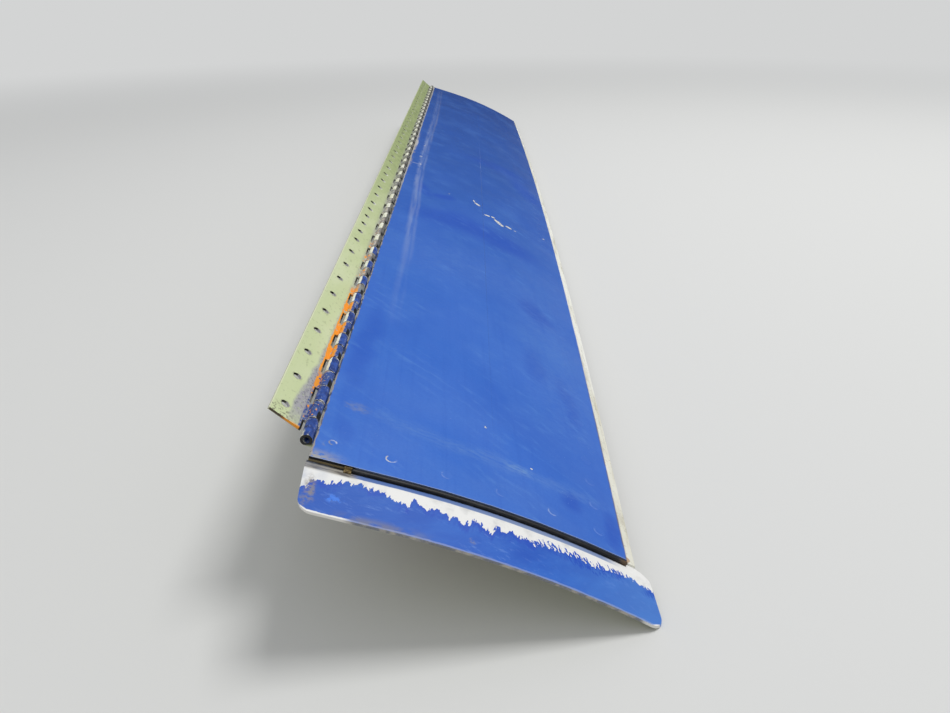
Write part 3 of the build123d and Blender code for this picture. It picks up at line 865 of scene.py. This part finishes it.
# End seal
# A black rubber strip bonded in front of the skins' near edge, with a rounded bead above
# a thin lip. It is one extrusion carried along the curve of the skin.
rubber_black = "#1B1C1F"
rubber_dust = "#4A4B4B"
rubber_rust = "#6A5238"
skin_start = (-53.74, 58.68)
skin_slope = math.radians(17.8)
skin_flat = 30.0
skin_radius = 400.0
# X in mm at which rust doesn't show, and at which it shows in full
rusty_end_fades_in = (52.5, 54.6)
seal_from, seal_to = 15.0, 119.5
seal_steps = 160
seal_profile = (
    # y in mm, offset from the outer face in mm
    (-489.28, -0.62), (-489.42, -0.50), (-489.75, -0.42), (-490.15, -0.44), (-490.52, -0.56),
    (-490.76, -0.78), (-490.86, -1.02), (-490.78, -1.22), (-490.60, -1.34), (-490.56, -1.42),
    (-490.66, -1.50), (-490.88, -1.56), (-490.88, -1.80), (-489.28, -1.80),
)


def skin_place(run, offset):
    """X and Z in mm of points along the skin's section: straight, then a round arc."""
    angle = skin_slope + np.maximum(run - skin_flat, 0) / skin_radius
    start_x = skin_start[0] + skin_flat * math.cos(skin_slope)
    start_z = skin_start[1] - skin_flat * math.sin(skin_slope)
    arc_x = start_x + skin_radius * (np.sin(angle) - math.sin(skin_slope))
    arc_z = start_z + skin_radius * (np.cos(angle) - math.cos(skin_slope))
    flat_x = skin_start[0] + run * math.cos(skin_slope)
    flat_z = skin_start[1] - run * math.sin(skin_slope)
    x = np.where(run > skin_flat, arc_x, flat_x) + offset * np.sin(angle)
    z = np.where(run > skin_flat, arc_z, flat_z) + offset * np.cos(angle)
    return x, z


def carried_strip(name, profile, run_from, run_to, steps):
    """A closed profile of Y and offset, carried along the skin from one run to another."""
    runs = np.linspace(run_from, run_to, steps + 1)
    run, step = np.meshgrid(runs, np.arange(len(profile)), indexing="ij")
    section = np.array(profile)
    x, z = skin_place(run, section[step, 1])
    points = np.stack([x, section[step, 0], z], axis=-1).reshape(-1, 3) / 1000
    count = len(profile)
    first = (np.arange(steps)[:, None] * count + np.arange(count)[None, :]).ravel()
    after = (np.arange(steps)[:, None] * count + (np.arange(count) + 1)[None, :] % count).ravel()
    faces = np.stack([first, first + count, after + count, after], axis=1).tolist()
    ends = [list(range(count)), list(range(steps * count, (steps + 1) * count))[::-1]]
    mesh = bpy.data.meshes.new(name)
    mesh.from_pydata(points.tolist(), [], faces + ends)
    mesh.update()
    piece = bpy.data.objects.new(name, mesh)
    scene.collection.objects.link(piece)
    return piece


def turn_outwards(piece):
    """Recalculates the normals of a closed mesh so that they all point outwards."""
    shape = bmesh.new()
    shape.from_mesh(piece.data)
    bmesh.ops.recalc_face_normals(shape, faces=shape.faces[:])
    shape.to_mesh(piece.data)
    shape.free()


def black_rubber():
    """Extruded rubber: dull black and dusty, with a faint grain along its length."""
    material, tree = new_material("extruded black rubber")
    place, axes, _ = millimetres(tree)
    dust = mottle(tree, place, 5, 0.5, 0.7, (2, 1, 1), 0, 5, 0.7)
    colour = coat(tree, rubber_black, rubber_dust, dust, 0.35)
    colour = coat(tree, colour, rubber_rust, ramp(tree, axes["X"], *rusty_end_fades_in), 0.7)
    drawn = mottle(tree, place, 0.6, 0.3, 0.7, (30, 1, 1), 0, 2)
    bump = add(tree, "ShaderNodeBump", {"Strength": 0.2, "Distance": 0.0001}, {"Height": drawn})
    shader = add(
        tree,
        "ShaderNodeBsdfPrincipled",
        {"Roughness": 0.55},
        {"Base Color": colour, "Normal": bump.outputs[0]},
    )
    finish_material(tree, shader)
    return material


seal = carried_strip("rubber_end_seal", seal_profile, seal_from, seal_to, seal_steps)
turn_outwards(seal)
seal.data.materials.append(black_rubber())
for face in seal.data.polygons:
    face.use_smooth = face.index < seal_steps * len(seal_profile)
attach(seal, "door")
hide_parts("end_seal")


# Seal clip
# A small clip of yellowed metal that stops the hinge end of the seal's channel. It is
# cut from thin strip, bent once and bonded to the end flange.
clip_tan = "#A08A58"
clip_brown = "#5E4C30"


def clip_metal():
    """Passivated steel gone yellow: a dim metallic tan with brown blotches."""
    material, tree = new_material("tarnished passivated clip")
    place, *_ = millimetres(tree)
    colour = coat(tree, clip_tan, clip_brown, mottle(tree, place, 1.4, 0.4, 0.62))
    shader = add(
        tree,
        "ShaderNodeBsdfPrincipled",
        {"Roughness": 0.5, "Metallic": 0.4},
        {"Base Color": colour},
    )
    finish_material(tree, shader)
    return material


dress("seal_clip", clip_metal())


# Frame leaf of the hinge
# Extruded aluminium in yellow-green primer, with its row of holes for the airframe. Grey
# where it is rubbed near the knuckles; orange paint and blue overspray at the near end.
pin_x, pin_z = -56.49, 58.93
frame_leaf_angle = math.radians(42.0)
first_knuckle_y = -479.78
leaf_end_y = -473.4
knuckle_pair = 25.4
leaf_hole_reach, leaf_hole_radius = 11.6, 1.70
# reach of the painted shadow in the slots
slot_shadow_reach = 3.7
knuckle_reach, leaf_width, barrel_radius = 2.55, 16.5, 2.2
door_knuckle_from, door_knuckle_to = 0.25, 12.45
frame_knuckle_from, frame_knuckle_to = 12.95, 25.15
first_knuckles_end_y = -430
painted_end_y = -337
# Y in mm at which a finish doesn't show, and at which it shows in full
far_primer_fades_in = (-380, 60)
pale_clouds_fade_in = (0, -300)
far_spots_fade_in = (-240, 160)
orange_traces_fade_in = (-120, -260)
far_wear_fades_in = (-160, -30)
patchy_orange_fades_in = (-240, -270)
sprayed_orange_fades_in = (-447, -443)
rim_highlights_fade_in = (-290, -150)
far_hole_fades_in = (-160, 60)
hole_rows = (
    # y of one hole of the row, pitch in mm, y at which the row begins
    (-465.28, 22.2, -512),
    (-248.38, 17.1, -257),
    (-179.98, 22.2, -169),
)
primer_near = "#CBD6A4"
primer_far = "#A6B47A"
primer_edge = "#E2E4C4"
rubbed_grey = "#A9A7AC"
orange_paint = "#FC9F20"
over_blue = "#35569F"
primer_pale = "#DEE4C0"
fleck_green = "#858C64"
spot_green = "#74805A"
corner_grime = "#6E6A58"
rubbed_dark = "#86868C"
worn_pale = "#C2BFB4"
worn_grey = "#8E8D90"
worn_orange = "#C98B62"
worn_far = "#8B8D7C"
# painted shade on the knuckles' side towards the skin
knuckle_side_shade = "#6F6D68"
over_blue_deep = "#27458C"
over_blue_worn = "#8F97A8"
over_blue_dusty = "#9C9CA4"
end_brown = "#4E4030"
chipped_pale = "#C9C4B2"
chipped_dark = "#3A3834"
# about the holes: a darker ring, a painted highlight on the rim, painted light and shade on the
# wall
dark_hole_ring = "#77775F"
hole_rim_highlight = "#E4E6DC"
hole_wall_lit = "#B9B6BC"
hole_wall_shadow = "#16140F"
hole_wall_far = "#A3A88E"
# painted shadow beside the knuckles and in the slots
knuckle_shadow = "#050504"
slot_shadow_grey = "#6E6C64"
slot_shadow_black = "#040403"
leaf_underside = "#A9AF86"
grey_line = (
    # y and the reach from the pin in mm up to which the primer is rubbed grey
    (-474, 9.2), (-463, 9.0), (-453, 8.6), (-441, 7.3), (-429, 6.4), (-416, 5.9), (-405, 5.4),
    (-391, 4.9), (-340, 4.5), (-250, 4.2), (512, 4.0),
)
grey_strength = (
    # y in mm and how far the rubbing goes
    (-474, 0.3), (-468, 0.6), (-463, 1.0), (-430, 1.0), (-390, 0.7), (-300, 0.45), (512, 0.35),
)
orange_line = (
    # y and the reach from the pin in mm up to which orange paint covers the primer
    (-474, 3.6), (-469, 4.0), (-467, 4.9), (-458, 5.1), (-453, 4.7), (-440, 4.7), (-426, 4.5),
    (-415, 4.2), (-410, 4.4), (-395, 4.5), (-381, 4.3), (-365, 4.3), (-340, 4.1), (-310, 3.7),
    (-280, 3.5),
)


def leaf_reach(tree, place, direction):
    """Distance in mm from the pin's line along a leaf's direction in the XZ plane."""
    pin = {"operation": "SUBTRACT", 1: (pin_x, 0, pin_z)}
    from_pin = add(tree, "ShaderNodeVectorMath", pin, {0: place})
    dot = {"operation": "DOT_PRODUCT", 1: direction}
    return add(tree, "ShaderNodeVectorMath", dot, {0: from_pin.outputs[0]}).outputs["Value"]


def past_step(tree, value, start, pitch):
    """How far a value lies past the last of a row of even steps, from 0 to the pitch."""
    moved = add(tree, "ShaderNodeMath", {"operation": "SUBTRACT", 1: start}, {0: value})
    steps = {"operation": "FLOORED_MODULO", 1: pitch}
    return add(tree, "ShaderNodeMath", steps, {0: moved.outputs[0]}).outputs[0]


def hole_distance(tree, reach, y):
    """Distance in mm on the leaf to the middle of the nearest airframe hole."""
    kept = None
    row_line = {"operation": "SUBTRACT", 1: leaf_hole_reach}
    aside = add(tree, "ShaderNodeMath", row_line, {0: reach}).outputs[0]
    for hole_y, pitch, begins in hole_rows:
        past = past_step(tree, y, hole_y - pitch / 2, pitch)
        half = {"operation": "SUBTRACT", 1: pitch / 2}
        along = add(tree, "ShaderNodeMath", half, {0: past}).outputs[0]
        flat = add(tree, "ShaderNodeCombineXYZ", links={0: aside, 1: along}).outputs[0]
        away = add(tree, "ShaderNodeVectorMath", {"operation": "LENGTH"}, {0: flat})
        away = away.outputs["Value"]
        if kept is None:
            kept = away
        else:
            here = ramp(tree, y, begins - 0.1, begins + 0.1)
            nearest = {0: here, 2: kept, 3: away}
            kept = add(tree, "ShaderNodeMix", {"data_type": "FLOAT"}, nearest).outputs[0]
    return kept


def frame_leaf_primer():
    """Sprayed primer: matt yellow green, slightly grainy, painted and worn by the knuckles."""
    material, tree = new_material("yellow green primer on extruded aluminium")
    place, axes, facing = millimetres(tree)
    along = (-math.cos(frame_leaf_angle), 0, math.sin(frame_leaf_angle))
    outward = (math.sin(frame_leaf_angle), 0, math.cos(frame_leaf_angle))
    reach = leaf_reach(tree, place, along)
    height = leaf_reach(tree, place, outward)
    colour = coat(tree, primer_near, primer_far, ramp(tree, axes["Y"], *far_primer_fades_in))
    clouds = mottle(tree, place, 16, 0.40, 0.66, (1, 3, 1), 0, 5)
    paler = ramp(tree, axes["Y"], *pale_clouds_fade_in)
    colour = coat(tree, colour, primer_pale, clouds, paler, 0.4)
    flecks = mottle(tree, place, 1.6, 0.58, 0.68, (1, 1.5, 1), 0, 3)
    colour = coat(tree, colour, fleck_green, flecks, 0.30)
    far_spots = mottle(tree, place, 3.6, 0.44, 0.66, (1, 1.3, 1), 0, 5, 0.7)
    spotted = ramp(tree, axes["Y"], *far_spots_fade_in)
    colour = coat(tree, colour, spot_green, far_spots, spotted, 0.75)
    corner = both(
        tree,
        ramp(tree, axes["Y"], leaf_end_y + 9.4, leaf_end_y + 2.4),
        mottle(tree, place, 1.3, 0.52, 0.60, (1, 1, 1), 0, 3),
    )
    colour = coat(tree, colour, corner_grime, corner, ramp(tree, reach, 3, 9), 0.7)

    # Rubbed grey beside the knuckles, broad at the near end and thin further on
    fuzzy_reach = leaf_reach(tree, ragged(tree, place, 7, 1.2), along)
    inside = ramp(tree, past_line(tree, fuzzy_reach, axes["Y"], grey_line), 0.9, -1.0)
    fading = traced(tree, axes["Y"], grey_strength)
    speckle = mottle(tree, place, 1.3, 0.26, 0.50, (1, 1.6, 1), 0, 6, 0.75)
    dots = mottle(tree, place, 0.9, 0.5, 0.66, (1, 1.4, 1), 0, 2)
    grey = coat(tree, rubbed_grey, rubbed_dark, dots)
    colour = coat(tree, colour, grey, inside, fading, speckle)

    # Knuckles: blue spray at the near end, then orange beside blue, then worn pale primer, with
    # painted shade on their side towards the skin
    side = leaf_reach(tree, ragged(tree, place, 2.6, 0.45), (1, 0, 0))
    left = ramp(tree, side, 0.1, -0.3)
    knuckle = ramp(tree, reach, knuckle_reach + 0.25, knuckle_reach)
    worn_and_shade = coat(tree, worn_pale, worn_grey, mottle(tree, place, 2.2, 0.42, 0.62, (1, 1.5, 1)))
    traces = mottle(tree, place, 1.5, 0.56, 0.62)
    worn_and_shade = coat(tree, worn_and_shade, worn_orange, traces, ramp(tree, axes["Y"], *orange_traces_fade_in))
    worn_and_shade = coat(tree, worn_and_shade, worn_far, ramp(tree, axes["Y"], *far_wear_fades_in), 0.7)
    # painted shade on the knuckles' side towards the skin
    worn_and_shade = coat(tree, knuckle_side_shade, worn_and_shade, ramp(tree, side, 0.9, 0.3))
    unpainted = ramp(tree, axes["Y"], painted_end_y - 8, painted_end_y + 12)
    colour = coat(tree, colour, worn_and_shade, knuckle, unpainted)
    blue = coat(tree, over_blue, over_blue_deep, mottle(tree, place, 3, 0.4, 0.6))
    scuffed = mottle(tree, place, 0.9, 0.54, 0.62, (1, 1.6, 1), 0, 3)
    blue = coat(tree, blue, over_blue_worn, scuffed, 0.8)
    dusty = mottle(tree, place, 1.2, 0.44, 0.52, (1, 1.4, 1), 0, 4)
    blue = coat(tree, blue, over_blue_dusty, ramp(tree, reach, 2.5, 2.9), dusty, 0.8)
    painted = ramp(tree, axes["Y"], painted_end_y + 9, painted_end_y - 9)
    near_knuckles = both(tree, knuckle, painted, ramp(tree, side, -0.2, 0.1))
    at_first = ramp(tree, axes["Y"], first_knuckles_end_y + 2, first_knuckles_end_y - 2)
    first_knuckles = both(tree, ramp(tree, reach, 4.6, 4.2), at_first)
    colour = coat(tree, colour, blue, either(tree, near_knuckles, first_knuckles))
    torn_reach = leaf_reach(tree, ragged(tree, place, 3.0, 0.6), along)
    strip = ramp(tree, past_line(tree, torn_reach, axes["Y"], orange_line), 0.25, -0.15)
    still_orange = ramp(tree, axes["Y"], painted_end_y + 9, painted_end_y - 1)
    full = both(tree, mottle(tree, place, 3, 0.36, 0.41, (1, 1.6, 1), 0, 4), still_orange)
    patchy = both(
        tree,
        mottle(tree, place, 1.8, 0.55, 0.59, (1, 1.6, 1), 0, 4),
        ramp(tree, axes["Y"], *patchy_orange_fades_in),
    )
    on_sheet = both(tree, strip, ramp(tree, torn_reach, 1.2, 1.8), either(tree, full, patchy))
    past_first = ramp(tree, axes["Y"], first_knuckles_end_y, first_knuckles_end_y + 4)
    on_knuckle = both(tree, knuckle, left, either(tree, full, patchy), past_first)
    sprayed = both(
        tree,
        first_knuckles,
        mottle(tree, place, 2.0, 0.40, 0.46, (1, 1.5, 1), 0, 4),
        ramp(tree, axes["Y"], *sprayed_orange_fades_in),
        ramp(tree, torn_reach, 2.3, 2.7),
    )
    specks = mottle(tree, place, 1.5, 0.60, 0.63, (1, 1.3, 1), 0, 3)
    specks = both(tree, first_knuckles, specks, ramp(tree, side, 1.2, 0.9))
    after_first = ramp(tree, axes["Y"], first_knuckles_end_y - 1, first_knuckles_end_y + 3)
    brushed = both(tree, either(tree, on_sheet, on_knuckle), after_first)
    colour = coat(tree, colour, orange_paint, either(tree, brushed, specks, sprayed))
    at_end = ramp(tree, axes["Y"], leaf_end_y + 1.0, leaf_end_y + 0.4)
    colour = coat(tree, colour, orange_paint, at_end, ramp(tree, reach, 9, 4))
    end_colour = coat(tree, orange_paint, end_brown, ramp(tree, reach, 8, 12))
    on_end = ramp(tree, axes["Y"], leaf_end_y + 0.8, leaf_end_y + 0.3)
    colour = coat(tree, colour, end_colour, ramp(tree, facing["Y"], -0.5, -0.8), on_end)

    # Chipped knuckle ends; painted shadow beside the knuckles and in the slots; about the holes a
    # darker ring, a painted highlight on the rim and painted light and shade on the wall
    past = past_step(tree, axes["Y"], first_knuckle_y, knuckle_pair)
    chipped_ends = either(
        tree,
        ramp(tree, past, frame_knuckle_from + 0.95, frame_knuckle_from + 0.25),
        ramp(tree, past, frame_knuckle_to - 0.85, frame_knuckle_to - 0.25),
    )
    rim = both(tree, knuckle, chipped_ends, mottle(tree, place, 1.4, 0.40, 0.50, (1, 1, 1), 0, 3))
    end_metal = coat(tree, chipped_pale, chipped_dark, mottle(tree, place, 2.6, 0.5, 0.56))
    colour = coat(tree, colour, end_metal, rim, 0.9)
    away = hole_distance(tree, reach, axes["Y"])
    darker_mask = ramp(tree, away, leaf_hole_radius + 0.9, leaf_hole_radius)
    colour = coat(tree, colour, dark_hole_ring, darker_mask, mottle(tree, place, 1.2, 0.40, 0.60), 0.7)
    # painted highlight on the rim's side towards the pin, in the further holes
    rim_highlight = both(
        tree,
        ramp(tree, away, leaf_hole_radius + 1.4, leaf_hole_radius + 0.4),
        ramp(tree, axes["Y"], *rim_highlights_fade_in),
    )
    inner_side = ramp(tree, reach, leaf_hole_reach + 0.6, leaf_hole_reach - 0.4)
    broken = mottle(tree, place, 2.6, 0.44, 0.52)
    colour = coat(tree, colour, hole_rim_highlight, rim_highlight, inner_side, broken, 0.85)
    # painted light and shade on the hole walls: shadow on the half away from the pin, light on the
    # half towards it
    shaded_half = ramp(tree, reach, leaf_hole_reach - 0.5, leaf_hole_reach + 0.1)
    wall = coat(tree, hole_wall_lit, hole_wall_shadow, shaded_half)
    wall = coat(tree, wall, hole_wall_far, ramp(tree, axes["Y"], *far_hole_fades_in))
    in_hole = ramp(tree, away, leaf_hole_radius + 0.12, leaf_hole_radius + 0.02)
    colour = coat(tree, colour, wall, in_hole)
    shaded_start = both(tree, ramp(tree, past, 12.8, 13.1), ramp(tree, past, 19.5, 17.5))
    colour = coat(tree, colour, knuckle_shadow, knuckle, ramp(tree, side, 1.2, 1.5), shaded_start)
    # painted shadow in the slots, black past the middle of each slot and paler grey before it
    slot_shadow = both(
        tree,
        ramp(tree, reach, slot_shadow_reach, slot_shadow_reach - 0.2),
        ramp(tree, past, 12.6, 12.4),
        ramp(tree, past, 0.2, 0.6),
    )
    slot_shadow_colour = coat(tree, slot_shadow_grey, slot_shadow_black, ramp(tree, past, 3.6, 6.0))
    colour = coat(tree, colour, slot_shadow_colour, slot_shadow)
    outer_edge = ramp(tree, reach, leaf_width - 0.6, leaf_width - 0.2)
    colour = coat(tree, colour, primer_edge, outer_edge, 0.7)
    under = ramp(tree, height, 0.2 - barrel_radius, 0.05 - barrel_radius)
    colour = coat(tree, colour, leaf_underside, under)
    fine = add(tree, "ShaderNodeTexNoise", {"Scale": 1.1, "Detail": 4.0}, {"Vector": place})
    bump = add(
        tree, "ShaderNodeBump", {"Strength": 0.25, "Distance": 0.0002}, {"Height": fine.outputs[0]}
    )
    coated = {"Base Color": colour, "Normal": bump.outputs[0]}
    finish_material(tree, add(tree, "ShaderNodeBsdfPrincipled", {"Roughness": 0.58}, coated))
    return material


dress("frame_hinge_leaf", frame_leaf_primer())


# Door leaf of the hinge
# Extruded aluminium under the skins, of which only the knuckles show. The first ones are
# brushed blue, the next are blue beside a pale crown, and the rest are worn cream primer.
knuckle_cream = "#FFFFF2"
knuckle_cream_dim = "#EFEED2"
knuckle_specks = "#8D8B78"
knuckle_shade = "#4B4A44"
knuckle_blue = "#3559AC"
knuckle_blue_deep = "#233F86"
knuckle_blue_worn = "#8C97B4"
knuckle_end_pale = "#DAD7C6"
knuckle_end_dark = "#4A4842"
first_end_cream = "#DDE0CB"
pit_black = "#101216"
end_shadow = "#0A0B0D"
blue_crown_line = (
    # y in mm and how far past the pin's line, in mm towards the skin, the blue begins
    (-480, -0.5), (-330, -0.1), (-230, 0.7), (512, 0.8),
)
# Y in mm at which the blue doesn't show, and at which it shows in full
partial_blue_fades_in = (-248, -262)
# x, y, half length, half width in mm, turn in degrees
dark_pit = (-57.4, -473.4, 0.5, 0.6, 0)


def door_leaf_paint():
    """Old primer and brushed blue: dull and dirty, chipped to metal at the knuckles' ends."""
    material, tree = new_material("worn cream primer and blue on extruded aluminium")
    place, axes, facing = millimetres(tree)
    height = leaf_reach(tree, place, (0, 0, 1))
    side = leaf_reach(tree, ragged(tree, place, 2.6, 0.35), (1, 0, 0))
    colour = coat(tree, knuckle_cream, knuckle_cream_dim, mottle(tree, place, 3, 0.40, 0.64))
    specks = mottle(tree, place, 1.6, 0.57, 0.66, (1, 2, 1))
    colour = coat(tree, colour, knuckle_specks, specks, 0.6)
    colour = coat(tree, colour, knuckle_shade, ramp(tree, side, 0.7, 1.3), 0.9)
    blue = coat(tree, knuckle_blue, knuckle_blue_deep, mottle(tree, place, 4, 0.4, 0.6))
    scuffed = mottle(tree, place, 0.9, 0.60, 0.66, (1, 2.5, 1), 0, 3)
    blue = coat(tree, blue, knuckle_blue_worn, scuffed, 0.7)
    wholly = ramp(tree, axes["Y"], first_knuckles_end_y, first_knuckles_end_y - 6)
    blue_side = ramp(tree, past_line(tree, side, axes["Y"], blue_crown_line), -0.15, 0.15)
    partly = both(tree, ramp(tree, axes["Y"], *partial_blue_fades_in), blue_side)
    colour = coat(tree, colour, blue, either(tree, wholly, partly))
    past = past_step(tree, axes["Y"], first_knuckle_y, knuckle_pair)
    chipped_ends = either(
        tree,
        ramp(tree, past, door_knuckle_from + 1.05, door_knuckle_from + 0.35),
        ramp(tree, past, door_knuckle_to - 1.05, door_knuckle_to - 0.35),
    )
    rim = both(tree, chipped_ends, mottle(tree, place, 1.3, 0.42, 0.52, (1, 1, 1), 0, 3))
    end_metal = coat(tree, knuckle_end_pale, knuckle_end_dark, mottle(tree, place, 2.2, 0.5, 0.56))
    colour = coat(tree, colour, end_metal, rim, 0.85)
    first_end = both(tree, ramp(tree, axes["Y"], -473.5, -477.5), ramp(tree, side, -0.7, -1.3))
    colour = coat(tree, colour, first_end_cream, first_end, mottle(tree, place, 2.0, 0.34, 0.46))
    colour = coat(tree, colour, pit_black, blot(tree, place, *dark_pit, 0.3), 0.9)
    colour = coat(tree, colour, end_shadow, ramp(tree, facing["Y"], -0.6, -0.9))
    colour = coat(tree, colour, leaf_underside, ramp(tree, height, -1.6, -2.4))
    shader = add(tree, "ShaderNodeBsdfPrincipled", {"Roughness": 0.40}, {"Base Color": colour})
    finish_material(tree, shader)
    return material


dress("door_hinge_leaf", door_leaf_paint())


# Hinge pin
# A drawn steel wire through all the knuckles, dulled by oxide and old grease. It is pushed
# in from one end and kept there by the last knuckles, which are pinched over it.
steel_grey = "#6B6A68"
steel_oxide = "#3B3834"


def pin_steel():
    """Drawn steel: a dark metallic grey, browned in long patches."""
    material, tree = new_material("drawn steel wire")
    place, *_ = millimetres(tree)
    colour = coat(tree, steel_grey, steel_oxide, mottle(tree, place, 2.5, 0.4, 0.65, (1, 4, 1)))
    shader = add(
        tree,
        "ShaderNodeBsdfPrincipled",
        {"Roughness": 0.45, "Metallic": 1.0},
        {"Base Color": colour},
    )
    finish_material(tree, shader)
    return material


dress("hinge_pin", pin_steel())


# Rivets
# Flush aluminium rivets. Their heads lie under the same blue paint as the skin, and their
# formed tails are bare metal under the door.
rivet_rows = (
    "near_end_rivets",
    "far_end_rivets",
    "hinge_row_rivets",
    "free_edge_rivets",
    "link_angle_rivets",
)
rivet_metal = "#A9AAA6"


def rivet_finish():
    """The skin's blue on the flat of the head, plain dull aluminium on the shank and tail."""
    material, tree = new_material("aluminium rivet under blue paint")
    place, axes, facing = millimetres(tree)
    head = ramp(tree, facing["Z"], 0.3, 0.5)
    colour = coat(tree, rivet_metal, blue_paint(tree, place, axes), head)
    shader = add(tree, "ShaderNodeBsdfPrincipled", {"Roughness": 0.38}, {"Base Color": colour})
    finish_material(tree, shader)
    return material


rivet_paint = rivet_finish()
for row in rivet_rows:
    dress(row, rivet_paint)


# Link angles and bushes
# Four pressed aluminium angles in yellow-green primer, riveted under the skins in pairs,
# each with a turned steel bush in its eye for the bolt of the door's operating link.
angle_green = "#B4BF86"
angle_pale = "#C9D0A0"
angle_spots = "#7B7F63"
angle_worn = "#A2A3A0"
# Z in mm at which the wear doesn't show, and at which it shows in full
worn_eye_fades_in = (14, 6)
bush_bright = "#8A8986"
bush_dull = "#6A6864"


def angle_primer():
    """Sprayed primer: matt yellow green, rubbed grey towards the eyes."""
    material, tree = new_material("yellow green primer on pressed aluminium")
    place, axes, _ = millimetres(tree)
    colour = coat(tree, angle_green, angle_pale, mottle(tree, place, 9, 0.4, 0.65))
    colour = coat(tree, colour, angle_spots, mottle(tree, place, 2.2, 0.55, 0.70), 0.4)
    patchy = mottle(tree, place, 3, 0.4, 0.6)
    colour = coat(tree, colour, angle_worn, ramp(tree, axes["Z"], *worn_eye_fades_in), patchy, 0.6)
    shader = add(tree, "ShaderNodeBsdfPrincipled", {"Roughness": 0.55}, {"Base Color": colour})
    finish_material(tree, shader)
    return material


def bush_steel():
    """Turned steel: bright grey, with the fine rings that the lathe tool leaves."""
    material, tree = new_material("turned steel")
    place, *_ = millimetres(tree)
    lines = mottle(tree, place, 0.5, 0.3, 0.7, (20, 1, 20), 0, 2)
    colour = coat(tree, bush_bright, bush_dull, lines)
    shader = add(
        tree,
        "ShaderNodeBsdfPrincipled",
        {"Roughness": 0.35, "Metallic": 1.0},
        {"Base Color": colour},
    )
    finish_material(tree, shader)
    return material


primer = angle_primer()
for pair in ("near", "far"):
    for side in ("left", "right"):
        dress(f"{pair}_link_angle_{side}", primer)
dress("link_bushes", bush_steel())
